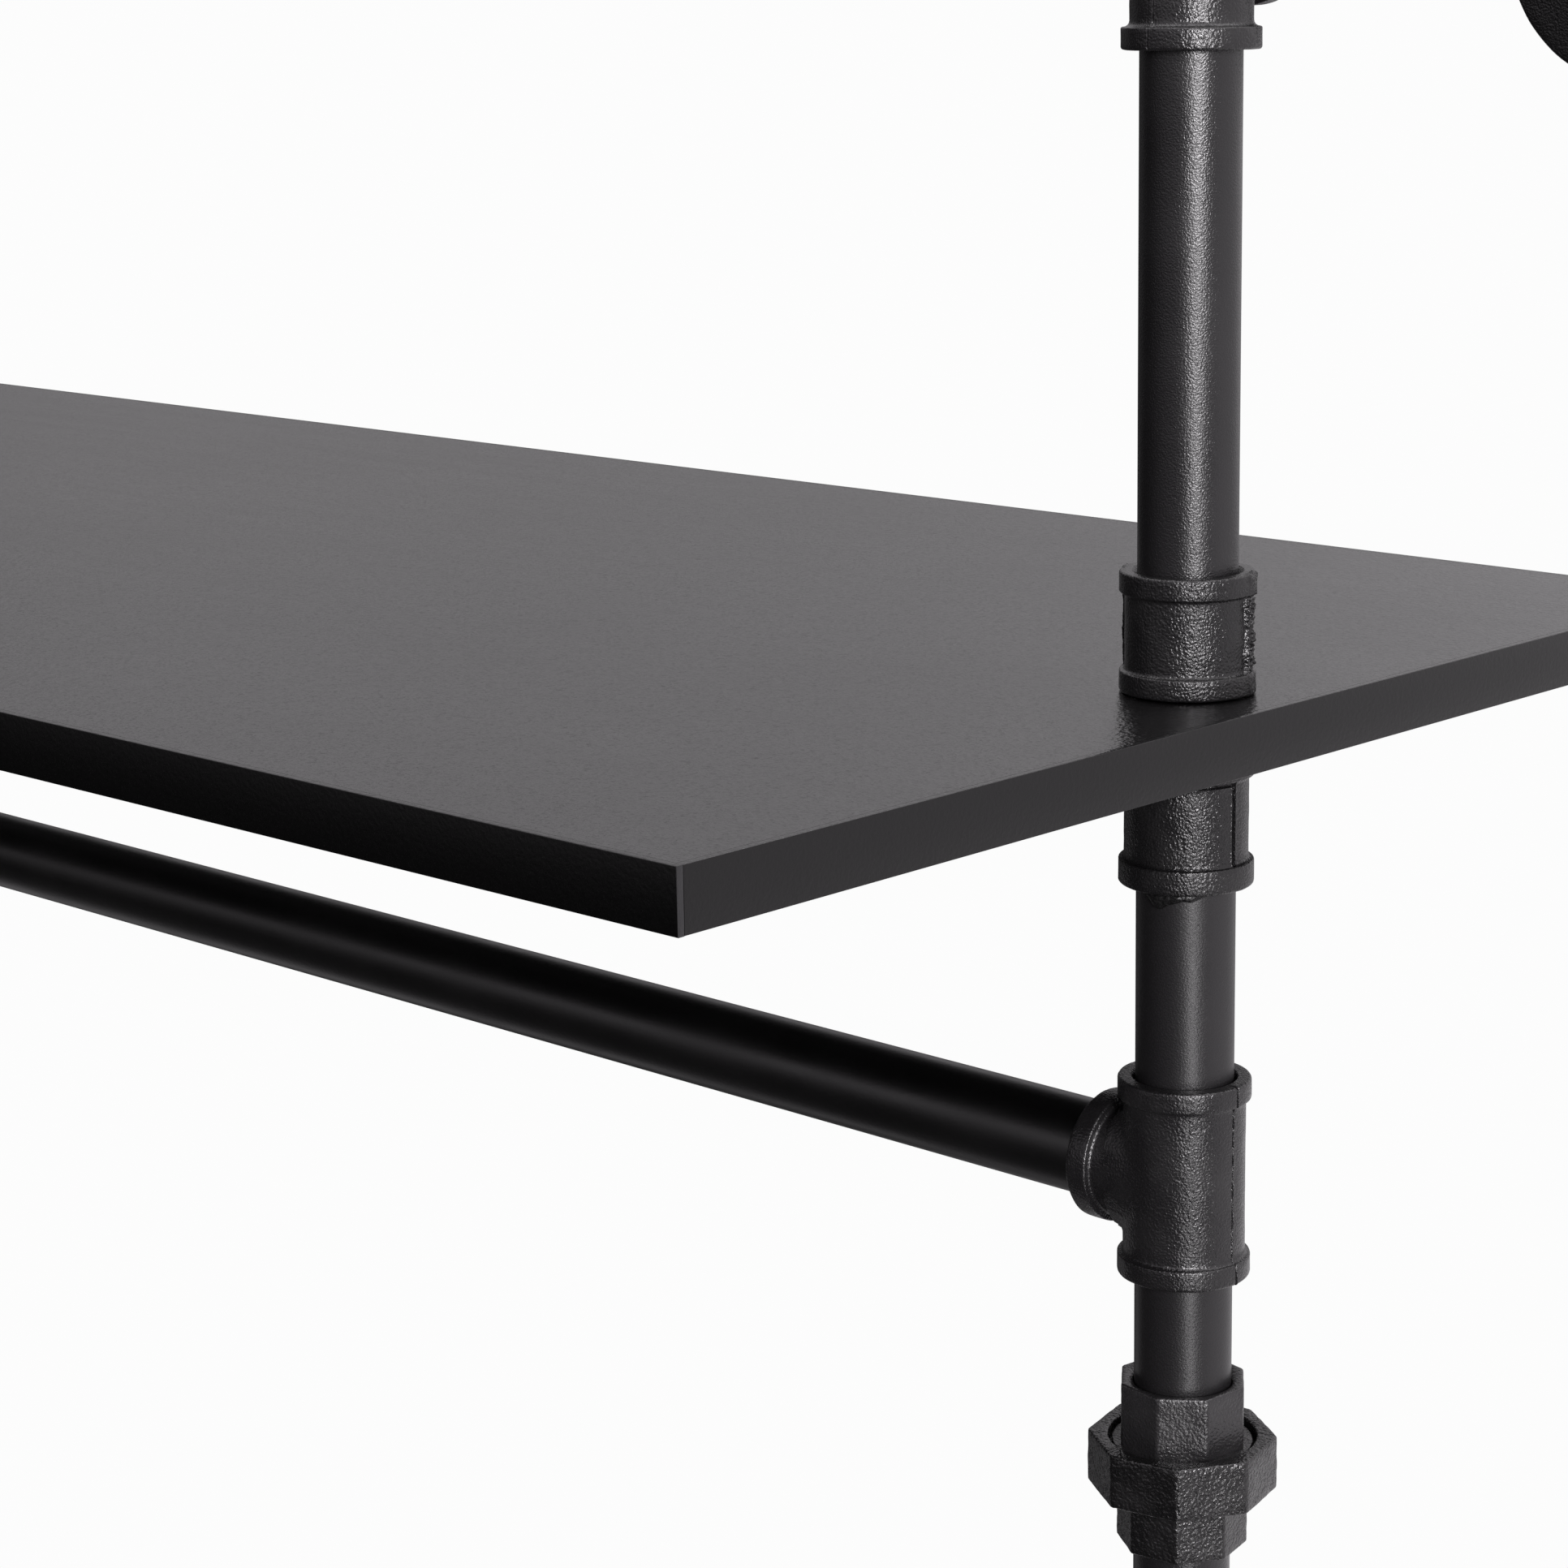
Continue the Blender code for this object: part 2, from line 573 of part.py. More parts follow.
union_tail = union_tail_mesh("union_tail")

posts = [("right", POST_SPACING / 2), ("left", -POST_SPACING / 2)]
for side_name, side_x in posts:
    build_post(side_name, side_x)
build_rod()
build_shelf()
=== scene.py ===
"""Looks of a closet of threaded pipe: cast fittings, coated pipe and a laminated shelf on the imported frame.

Units are metres, in the frame of the CAD model: +Z is up, +Y points to the wall and the right post is at +X.
"""

import json
import logging
import math
from collections.abc import Callable, Iterable, Sequence
from dataclasses import dataclass, field
from enum import Enum
from typing import Protocol

import bmesh
import bpy
from mathutils import Matrix, Vector, noise

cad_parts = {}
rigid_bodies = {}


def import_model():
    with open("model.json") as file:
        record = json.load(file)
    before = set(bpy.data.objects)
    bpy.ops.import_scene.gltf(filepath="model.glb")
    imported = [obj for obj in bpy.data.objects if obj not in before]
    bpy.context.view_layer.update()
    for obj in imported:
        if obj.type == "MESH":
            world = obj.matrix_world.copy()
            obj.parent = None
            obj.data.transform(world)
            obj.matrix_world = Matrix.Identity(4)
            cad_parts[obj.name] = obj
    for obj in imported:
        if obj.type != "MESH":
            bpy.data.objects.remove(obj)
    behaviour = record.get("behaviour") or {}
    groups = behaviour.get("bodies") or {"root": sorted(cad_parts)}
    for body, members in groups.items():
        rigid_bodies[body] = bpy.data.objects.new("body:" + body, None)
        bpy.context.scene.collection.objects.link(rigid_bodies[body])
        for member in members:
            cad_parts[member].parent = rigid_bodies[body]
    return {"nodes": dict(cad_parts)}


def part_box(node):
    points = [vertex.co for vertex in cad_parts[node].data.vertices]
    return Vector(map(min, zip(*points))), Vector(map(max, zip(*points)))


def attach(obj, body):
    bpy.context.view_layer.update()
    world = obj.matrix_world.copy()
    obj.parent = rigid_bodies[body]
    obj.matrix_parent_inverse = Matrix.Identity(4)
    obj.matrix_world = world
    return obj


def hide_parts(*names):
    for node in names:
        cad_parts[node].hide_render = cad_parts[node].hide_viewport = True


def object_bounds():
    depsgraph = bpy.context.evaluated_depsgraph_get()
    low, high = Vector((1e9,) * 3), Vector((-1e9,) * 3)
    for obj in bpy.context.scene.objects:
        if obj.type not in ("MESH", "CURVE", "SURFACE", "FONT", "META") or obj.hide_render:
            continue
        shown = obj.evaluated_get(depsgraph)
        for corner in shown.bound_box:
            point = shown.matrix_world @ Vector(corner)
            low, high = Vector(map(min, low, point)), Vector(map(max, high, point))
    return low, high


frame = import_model()
CAD_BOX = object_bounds()

LOG = logging.getLogger("closet")
MAIN_BODY = "frame"
TURN = 2 * math.pi
EIGHTH = TURN / 8
WELD = 0.00001

Colour = tuple[float, float, float]
Point = tuple[float, float]
Path = Callable[[float], Matrix]


class Side(Enum):
    """The two posts."""

    RIGHT = "right"
    LEFT = "left"

    def node(self, word: str) -> str:
        """Name one of the post's CAD nodes."""
        return f"{self.value}_{word}"

    def axis(self) -> Vector:
        """Give the foot of the post's axis."""
        low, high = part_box(self.node("riser_pipe"))
        return Vector(((low.x + high.x) / 2, (low.y + high.y) / 2, 0.0))

    def at(self, height: float) -> Matrix:
        """Give the place on the post's axis at a height."""
        return Matrix.Translation(self.axis() + Vector((0.0, 0.0, height)))


class Axis(Enum):
    """The direction in which a pipe runs."""

    X = "X"
    Y = "Y"
    Z = "Z"

    def turn(self) -> Matrix:
        """Give the turn that lays an upright pipe along this direction."""
        angle, about = {"X": (math.pi / 2, "Y"), "Y": (-math.pi / 2, "X"), "Z": (0.0, "Z")}[self.value]
        return Matrix.Rotation(angle, 4, about)


class Section(Enum):
    """The outline of a ring."""

    ROUND = "round"
    OCTAGON = "octagon"


class Wire:
    """A node socket that takes part in Python sums, each of which adds a Math node."""

    def __init__(self, graph: "Graph", socket: bpy.types.NodeSocket) -> None:
        """Keep the graph and the socket."""
        self.graph = graph
        self.socket = socket

    def other(self, output: str) -> "Wire":
        """Give another output of the same node."""
        return Wire(self.graph, self.socket.node.outputs[output])

    def _sum(self, operation: str, first: "Plug", second: "Plug") -> "Wire":
        """Add one Math node."""
        return self.graph.node("ShaderNodeMath", {"operation": operation}, {0: first, 1: second})

    def __add__(self, value: "Plug") -> "Wire":
        """Add a value."""
        return self._sum("ADD", self, value)

    def __sub__(self, value: "Plug") -> "Wire":
        """Take a value away."""
        return self._sum("SUBTRACT", self, value)

    def __rsub__(self, value: "Plug") -> "Wire":
        """Take this wire away from a value."""
        return self._sum("SUBTRACT", value, self)

    def __mul__(self, value: "Plug") -> "Wire":
        """Multiply by a value."""
        return self._sum("MULTIPLY", self, value)

    __radd__ = __add__
    __rmul__ = __mul__


Plug = Wire | float | tuple[float, ...]


class Graph:
    """A node tree that is written as Python."""

    def __init__(self, tree: bpy.types.NodeTree) -> None:
        """Keep the tree."""
        self.tree = tree

    def plug(self, socket: bpy.types.NodeSocket, value: Plug) -> None:
        """Link a wire to a socket, or set the socket's own value.

        Args:
            socket: The input to fill.
            value: A wire, a number, or the numbers of a colour or vector.
        """
        if isinstance(value, Wire):
            self.tree.links.new(value.socket, socket)
        elif socket.type == "RGBA":
            socket.default_value = (*value, 1.0)
        else:
            socket.default_value = value

    def node(self, kind: str, settings: dict[str, object] | None = None,
             sockets: dict[str | int, Plug] | None = None, output: str | int = 0) -> Wire:
        """Add a node.

        Args:
            kind: The node's type.
            settings: Its settings, set first; "stops" holds the (place, value) stops of a ramp.
            sockets: Its inputs' values or wires, by name or number.
            output: The output to hand on.

        Returns:
            The wire of that output.
        """
        made = self.tree.nodes.new(kind)
        for name, value in (settings or {}).items():
            if name != "stops":
                setattr(made, name, value)
                continue
            ramp = made.color_ramp.elements
            for index, (place, level) in enumerate(value):
                stop = ramp[index] if index < len(ramp) else ramp.new(place)
                stop.position = place
                stop.color = (level, level, level, 1.0)
        for name, value in (sockets or {}).items():
            self.plug(made.inputs[name], value)
        return Wire(self, made.outputs[output])

    def place(self) -> Wire:
        """Give the place on the piece, in metres."""
        return self.node("ShaderNodeTexCoord", output="Object")

    def blotches(self, place: Wire, size: float, detail: float = 2.0) -> Wire:
        """Add noise from 0 to 1 whose blotches have about the given size."""
        return self.node("ShaderNodeTexNoise", {}, {"Vector": place, "Scale": 1.0 / size, "Detail": detail})

    def cells(self, place: Wire, size: float) -> Wire:
        """Add rounded cells of about the given size, as the distance from their middles."""
        return self.node("ShaderNodeTexVoronoi", {"feature": "SMOOTH_F1"},
                         {"Vector": place, "Scale": 1.0 / size, "Smoothness": 0.5}, "Distance")

    def ramp(self, value: Wire, *stops: Point) -> Wire:
        """Pass a value through a ramp of (place, level) stops."""
        return self.node("ShaderNodeValToRGB", {"stops": stops}, {0: value})

    def mix(self, share: Plug, first: Plug, second: Plug) -> Wire:
        """Mix two colours."""
        return self.node("ShaderNodeMix", {"data_type": "RGBA"}, {0: share, 6: first, 7: second}, 2)

    def scale(self, place: Wire, factors: tuple[float, float, float]) -> Wire:
        """Stretch a place, so that blotches grow where a factor is small."""
        return self.node("ShaderNodeVectorMath", {"operation": "MULTIPLY"}, {0: place, 1: factors})

    def bump(self, height: Wire) -> Wire:
        """Turn a height in metres into a normal."""
        return self.node("ShaderNodeBump", {}, {"Strength": 1.0, "Distance": 1.0, "Height": height})

    def rays(self) -> tuple[Wire, Wire]:
        """Tell what the camera sees, straight or through glass, and what reflections see."""
        camera = self.node("ShaderNodeLightPath", output="Is Camera Ray")
        return camera + camera.other("Is Transmission Ray"), camera.other("Is Glossy Ray")


class Finish:
    """A surface finish, which makes its material when it is first asked for."""

    name: str
    sheen: float = 0.5
    tint: Colour = (1.0, 0.975, 1.0)

    def sockets(self, graph: Graph) -> dict[str, Plug]:
        """Give the values and wires of the shader's sockets."""
        raise NotImplementedError

    def material(self) -> bpy.types.Material:
        """Make the finish's material, or give the one already made.

        Returns:
            The material, under the finish's name.
        """
        made = bpy.data.materials.get(self.name)
        if made is None:
            made = bpy.data.materials.new(self.name)
            made.use_nodes = True
            graph = Graph(made.node_tree)
            shader = made.node_tree.nodes["Principled BSDF"]
            shader.inputs["Specular IOR Level"].default_value = self.sheen
            shader.inputs["Specular Tint"].default_value = (*self.tint, 1.0)
            for socket, value in self.sockets(graph).items():
                graph.plug(shader.inputs[socket], value)
        return made


@dataclass(frozen=True)
class CoatedMetal(Finish):
    """Black coat baked over metal: a peel of soft bumps with grit over it, and faint dusty patches."""

    name: str
    colour: Colour
    dusty_colour: Colour
    roughness: float
    peel_size: float
    peel_depth: float
    grit_size: float
    grit_depth: float
    patch_size: float = 0.012
    sheen: float = 0.5
    patch_edges: tuple[Point, Point] = ((0.45, 0.0), (0.75, 1.0))
    patch_roughness: float = 0.08
    pimple_scale: float = 1.3
    pimple_share: float = 0.6
    grit_roughness: float = 0.16

    def sockets(self, graph: Graph) -> dict[str, Plug]:
        """Wire the coat.

        Args:
            graph: The material's graph.

        Returns:
            The sockets of the shader.
        """
        place = graph.place()
        patches = graph.ramp(graph.blotches(place, self.patch_size, 4.0), *self.patch_edges)
        peel = graph.blotches(place, self.peel_size, 1.0)
        pimples = graph.cells(place, self.peel_size * self.pimple_scale)
        grit = graph.blotches(place, self.grit_size, 2.0)
        height = (peel - pimples * self.pimple_share) * self.peel_depth + grit * self.grit_depth
        matt = patches * self.patch_roughness
        return {
            "Base Color": graph.mix(patches, self.colour, self.dusty_colour),
            "Roughness": self.roughness + matt + (grit - 0.5) * self.grit_roughness,
            "Normal": graph.bump(height),
        }


@dataclass(frozen=True)
class Laminate(Finish):
    """Black melamine with a fine pebbled grain and a slow change of gloss along the board."""

    name: str
    colour: Colour
    streak_colour: Colour
    roughness: float
    pebble_size: float
    pebble_depth: float
    streak: tuple[float, float, float] = (0.12, 1.0, 1.0)
    streak_size: float = 0.012
    cloud_size: float = 0.11
    gloss_change: float = 0.05
    dimple_scale: float = 2.2
    dimple_share: float = 0.4

    def sockets(self, graph: Graph) -> dict[str, Plug]:
        """Wire the melamine.

        Args:
            graph: The material's graph.

        Returns:
            The sockets of the shader.
        """
        place = graph.place()
        streaks = graph.blotches(graph.scale(place, self.streak), self.streak_size, 4.0)
        clouds = graph.blotches(place, self.cloud_size, 2.0)
        pebbles = graph.blotches(place, self.pebble_size, 2.0)
        dimples = graph.cells(place, self.pebble_size * self.dimple_scale)
        height = (pebbles - dimples * self.dimple_share) * self.pebble_depth
        gloss = (streaks - 0.5) * self.gloss_change
        return {
            "Base Color": graph.mix(streaks, self.colour, self.streak_colour),
            "Roughness": self.roughness + gloss + (clouds - 0.5) * self.gloss_change,
            "Normal": graph.bump(height),
        }


@dataclass(frozen=True)
class Plastic(Finish):
    """Plastic of the edge bands, with faint lines along the board where it was drawn or sawn."""

    name: str
    colour: Colour
    line_colour: Colour
    roughness: float
    line_depth: float
    line_size: float
    stretch: tuple[float, float, float]
    sheen: float = 0.5
    line_roughness: float = 0.10
    speck_size: float = 0.0007
    speck_share: float = 0.5

    def sockets(self, graph: Graph) -> dict[str, Plug]:
        """Wire the plastic.

        Args:
            graph: The material's graph.

        Returns:
            The sockets of the shader.
        """
        place = graph.place()
        lines = graph.blotches(graph.scale(place, self.stretch), self.line_size, 3.0)
        specks = graph.blotches(place, self.speck_size, 2.0)
        height = lines * self.line_depth + specks * (self.speck_share * self.line_depth)
        return {
            "Base Color": graph.mix(lines, self.colour, self.line_colour),
            "Roughness": self.roughness + (lines - 0.5) * self.line_roughness,
            "Normal": graph.bump(height),
        }


CASTING = CoatedMetal(
    "black_cast_coat", (0.0056, 0.0051, 0.0057), (0.0086, 0.0080, 0.0085), 0.27,
    peel_size=0.00058, peel_depth=0.00017, grit_size=0.00028, grit_depth=0.00003, sheen=0.47)
COARSE_CASTING = CoatedMetal(
    "black_coarse_cast_coat", (0.0040, 0.0037, 0.0041), (0.0070, 0.0065, 0.0069), 0.26,
    peel_size=0.00062, peel_depth=0.00024, grit_size=0.00030, grit_depth=0.00004, sheen=0.40)
ROUGH_CASTING = CoatedMetal(
    "black_pitted_cast_coat", (0.0025, 0.0023, 0.0025), (0.0060, 0.0055, 0.0059), 0.26,
    peel_size=0.00080, peel_depth=0.00030, grit_size=0.00032, grit_depth=0.00005, sheen=0.55)
TAIL_CASTING = CoatedMetal(
    "black_union_tail_coat", (0.0105, 0.0097, 0.0106), (0.0140, 0.0130, 0.0139), 0.29,
    peel_size=0.00070, peel_depth=0.00018, grit_size=0.00030, grit_depth=0.00003)
PIPE_COAT = CoatedMetal(
    "black_pipe_coat", (0.0040, 0.0036, 0.0041), (0.0055, 0.0050, 0.0056), 0.29,
    peel_size=0.00042, peel_depth=0.00009, grit_size=0.00024, grit_depth=0.00002, patch_size=0.03)
NIPPLE_COAT = CoatedMetal(
    "black_nipple_coat", (0.0050, 0.0045, 0.0051), (0.0062, 0.0057, 0.0063), 0.36,
    peel_size=0.00044, peel_depth=0.00005, grit_size=0.00024, grit_depth=0.000015,
    patch_size=0.03, sheen=0.47)
ROD_COAT = CoatedMetal(
    "black_rod_coat", (0.0022, 0.0020, 0.0022), (0.0028, 0.0026, 0.0028), 0.34,
    peel_size=0.0012, peel_depth=0.00002, grit_size=0.0004, grit_depth=0.000006,
    patch_size=0.04, sheen=1.00)
SHELF_LAMINATE = Laminate(
    "black_laminate", (0.0022, 0.0020, 0.0022), (0.0034, 0.0031, 0.0034), 0.24,
    pebble_size=0.0014, pebble_depth=0.00022)
BAND_FACE = Plastic(
    "black_edge_band", (0.0007, 0.0007, 0.0007), (0.0011, 0.0010, 0.0011), 0.38,
    line_depth=0.00007, line_size=0.0013, stretch=(1.0, 1.0, 1.0), sheen=0.39)
BAND_CUT = Plastic(
    "cut_edge_band", (0.0415, 0.0395, 0.0430), (0.0765, 0.0735, 0.0789), 0.50,
    line_depth=0.000060, line_size=0.0012, stretch=(1.0, 1.0, 0.2), sheen=0.30)
SEALANT = CoatedMetal(
    "black_thread_sealant", (0.0030, 0.0028, 0.0030), (0.0045, 0.0042, 0.0045), 0.34,
    peel_size=0.0012, peel_depth=0.00040, grit_size=0.0005, grit_depth=0.00003, sheen=0.30)


def wrapped(angle: float) -> float:
    """Bring an angle into the half turn either side of zero."""
    return (angle + math.pi) % TURN - math.pi


def eased(share: float) -> float:
    """Let a share rise from 0 to 1 with level ends."""
    share = min(1.0, max(0.0, share))
    return share * share * (3.0 - 2.0 * share)


def seeded(place: Vector, size: float, seed: float) -> float:
    """Give noise from -1 to 1 whose blotches have about the given size."""
    return noise.noise(place / size + Vector((seed, 2.7 * seed, -1.3 * seed)))


class Relief(Protocol):
    """Something that stands out of a casting's skin."""

    def lift(self, place: Vector) -> float:
        """Give how far the skin is lifted at a place."""


@dataclass(frozen=True)
class Waviness:
    """The slow unevenness of a sand casting."""

    height: float
    size: float
    seed: float

    def lift(self, place: Vector) -> float:
        """Give how far the skin is lifted at a place."""
        return self.height * seeded(place, self.size, self.seed)


@dataclass(frozen=True)
class PartingSeam:
    """The broken cleft and low ridge where the halves of the mould met, in a plane through the origin."""

    normal: Point
    depth: float = 0.00075
    width: float = 0.00024
    break_size: float = 0.0013
    seed: float = 3.0
    wander: float = 0.00018
    wander_size: float = 0.006
    whole: float = 0.62
    broken: float = 1.5
    ridge: float = 0.3
    ridge_off: float = 1.0
    cleft_off: float = -0.6

    def lift(self, place: Vector) -> float:
        """Give how far the skin is lifted at a place.

        Args:
            place: A point of the skin.

        Returns:
            The lift, along the skin's normal.
        """
        wander = self.wander * seeded(place, self.wander_size, self.seed + 5.0)
        off = (place.x * self.normal[0] + place.y * self.normal[1] + wander) / self.width
        left = eased(self.whole + self.broken * seeded(place, self.break_size, self.seed))
        ridge = self.ridge * math.exp(-((off - self.ridge_off) ** 2))
        return self.depth * (ridge - math.exp(-((off - self.cleft_off) ** 2))) * left


@dataclass(frozen=True)
class FlashStrip:
    """A ragged upright strip of flash left on a sleeve's side, which runs thinly on over the beads."""

    angle: float
    half_width: float
    height: float
    radius: float
    lumps: float
    over_bead: float = 0.0004
    seed: float = 9.0
    slack: float = 0.0002
    fade: float = 0.0008
    edge_swing: Point = (0.35, 0.0035)
    level: float = 0.80
    level_swing: Point = (0.30, 0.0040)
    lump_swings: tuple[Point, Point] = ((1.0, 0.0011), (0.9, 0.0006))

    def lift(self, place: Vector) -> float:
        """Give how far the skin is lifted at a place, at most to the beads and a little over them.

        Args:
            place: A point of the skin.

        Returns:
            The lift, along the skin's normal.
        """
        reach = math.hypot(place.x, place.y)
        if reach < self.radius - self.slack:
            return 0.0
        off = abs(wrapped(math.atan2(place.y, place.x) - self.angle)) * self.radius
        swing, size = self.edge_swing
        edge = self.half_width * (1.0 + swing * seeded(place, size, self.seed))
        swing, size = self.level_swing
        ragged = self.level + swing * seeded(place, size, self.seed + 4.0)
        ragged += self.lumps * sum(share * seeded(place, size, self.seed + 6.0 + 2.0 * index)
                                   for index, (share, size) in enumerate(self.lump_swings))
        clear = max(self.over_bead, self.radius + self.height - reach)
        return min(self.height, clear) * (1.0 - eased((off - edge) / self.fade + 0.5)) * ragged


@dataclass(frozen=True)
class RaisedPad:
    """A low pad on a round side: a trench runs along its upright edge and its top, the other edge fades."""

    start: float
    stop: float
    high: float
    radius: float
    height: float = 0.00015
    trench: float = 0.00085
    half_width: float = 0.00055
    lip: float = 0.00016
    edge: float = 0.00036
    fade: float = 0.0040
    slack: float = 0.0003
    last_angle: float = 0.5
    wander: float = 0.00008
    wander_size: float = 0.0020
    lip_off: float = 0.0003
    lip_width: float = 0.00022
    seed: float = 13.0

    def lift(self, place: Vector) -> float:
        """Give how far the skin is lifted at a place.

        Args:
            place: A point of the skin.

        Returns:
            The lift, along the skin's normal.
        """
        angle = math.atan2(place.y, place.x)
        if math.hypot(place.x, place.y) > self.radius + self.slack:
            return 0.0
        if not self.start < angle < self.last_angle:
            return 0.0
        wander = self.wander * seeded(place, self.wander_size, self.seed)
        across = (angle - self.stop) * self.radius + wander
        off = max(across, place.z - self.high)
        level = self.height * (1.0 - eased(off / self.edge + 0.5))
        dug = self.trench * (1.0 - eased((abs(off - self.half_width) - self.half_width) / self.edge + 0.5))
        middles = (-self.lip_off, 2 * self.half_width + self.lip_off)
        lips = sum(math.exp(-(((off - middle) / self.lip_width) ** 2)) for middle in middles)
        return (level + self.lip * lips - dug) * eased((angle - self.start) * self.radius / self.fade)


def ring_angles(count: int, fine_at: Iterable[float] = (), offsets: Sequence[float] = ()) -> list[float]:
    """Spread angles round a ring, closer together where a skin needs it.

    Args:
        count: How many even steps a plain ring has.
        fine_at: Angles that need finer steps.
        offsets: The steps set round each of those, in rising order.

    Returns:
        The angles in rising order, without the even steps that lie among the fine ones.
    """
    fine_at = list(fine_at)
    clear = 1.25 * max(map(abs, offsets), default=0.0)
    even = [TURN * index / count for index in range(count)]
    kept = [angle for angle in even if all(abs(wrapped(angle - middle)) > clear for middle in fine_at)]
    fine = [middle + offset for middle in fine_at for offset in offsets]
    return sorted(angle % TURN for angle in kept + fine)


def seam_steps() -> list[float]:
    """Give the fine steps round a narrow ridge or edge."""
    steps = [0.35, 0.7, 1.05, 1.4, 1.8, 2.2, 2.7, 3.2, 3.8, 4.6]
    return [math.radians(step) for step in [-s for s in reversed(steps)] + [0.0] + steps]


def arc(centre: Point, size: float, start: float, stop: float, steps: int = 4) -> list[Point]:
    """Give points of an arc in a profile.

    Args:
        centre: The (radius, depth) of its middle.
        size: Its own radius.
        start: Its first angle in degrees, where 0 points outwards and 90 points deeper.
        stop: Its last angle.
        steps: How many steps it takes.

    Returns:
        The (radius, depth) points.
    """
    angles = [math.radians(start + (stop - start) * step / steps) for step in range(steps + 1)]
    return [(centre[0] + size * math.cos(a), centre[1] + size * math.sin(a)) for a in angles]


def rows(start: float, stop: float, step: float) -> list[float]:
    """Give the places between two ends, about a step apart and without the ends."""
    count = max(1, round(abs(stop - start) / step))
    return [start + (stop - start) * index / count for index in range(1, count)]


@dataclass(frozen=True)
class Ring:
    """One ring of a skin: its radius or half width across flats, and its place along the path."""

    radius: float
    place: float
    section: Section = Section.ROUND
    cast: bool = True
    stretch: float = 1.0


def round_rings(points: Iterable[Point], cast: bool = True) -> list[Ring]:
    """Make round rings of (radius, place) points."""
    return [Ring(radius, place, cast=cast) for radius, place in points]


def sleeve(foot: list[Point], head: list[Point], radius: float, step: float) -> list[Ring]:
    """Join the outer profiles of two mouths by the rings of the body between them."""
    body = [(radius, place) for place in rows(foot[-1][1], head[-1][1], step)]
    return round_rings(foot + body + list(reversed(head)))


def upright(place: float) -> Matrix:
    """Give the frame of a straight path up the Z axis."""
    return Matrix.Translation((0.0, 0.0, place))


def to_mesh(shape: bmesh.types.BMesh, name: str, sharp: float = 40.0) -> bpy.types.Mesh:
    """Turn a shape into a mesh that is smooth apart from its sharp edges.

    Args:
        shape: The shape, which is freed.
        name: The mesh's name.
        sharp: The angle in degrees above which an edge stays sharp.

    Returns:
        The mesh.
    """
    mesh = bpy.data.meshes.new(name)
    shape.to_mesh(mesh)
    shape.free()
    mesh.shade_smooth()
    mesh.set_sharp_from_angle(angle=math.radians(sharp))
    return mesh


def emboss(verts: Iterable[bmesh.types.BMVert], reliefs: Sequence[Relief]) -> None:
    """Lift points of a skin along their normals by the sum of some reliefs."""
    moves = [(vert, vert.normal * sum(relief.lift(vert.co) for relief in reliefs)) for vert in verts]
    for vert, move in moves:
        vert.co += move


def skin(shape: bmesh.types.BMesh, loops: Sequence[list[bmesh.types.BMVert]], closed: bool) -> None:
    """Join rings of points, all with the same count, into a skin.

    Args:
        shape: The shape that holds the points.
        loops: The rings in order.
        closed: Whether the last ring joins the first; otherwise both ends are capped.
    """
    pairs = list(zip(loops, loops[1:]))
    if closed:
        pairs.append((loops[-1], loops[0]))
    for near, far in pairs:
        for index in range(len(near)):
            after = (index + 1) % len(near)
            shape.faces.new((near[index], near[after], far[after], far[index]))
    if not closed:
        shape.faces.new(reversed(loops[0]))
        shape.faces.new(loops[-1])
    bmesh.ops.recalc_face_normals(shape, faces=shape.faces)
    shape.normal_update()


class Sweep:
    """Rings set along a path and joined into one skin."""

    def __init__(self, angles: Sequence[float], path: Path = upright, turn: float = 0.0) -> None:
        """Keep the angles of every ring's points, the path, and the turn of the eight-sided rings."""
        self.angles = angles
        self.path = path
        self.turn = turn

    def point(self, ring: Ring, angle: float) -> Vector:
        """Give a point of a ring.

        Args:
            ring: The ring.
            angle: The point's angle about the path.

        Returns:
            Its place.
        """
        reach = ring.radius
        if ring.section is Section.OCTAGON:
            reach /= math.cos((angle - self.turn) % EIGHTH - EIGHTH / 2)
        across = Vector((reach * ring.stretch * math.cos(angle), reach * math.sin(angle), 0.0))
        return self.path(ring.place) @ across

    def shape(self, rings: Sequence[Ring], reliefs: Sequence[Relief] = (),
              closed: bool = True) -> bmesh.types.BMesh:
        """Set the rings up and join them.

        Args:
            rings: The rings in order.
            reliefs: What stands out of the rings that are cast.
            closed: Whether the last ring joins the first; otherwise both ends are capped.

        Returns:
            The skin.
        """
        shape = bmesh.new()
        loops = [[shape.verts.new(self.point(ring, angle)) for angle in self.angles] for ring in rings]
        skin(shape, loops, closed)
        emboss((vert for ring, loop in zip(rings, loops) if ring.cast for vert in loop), reliefs)
        return shape


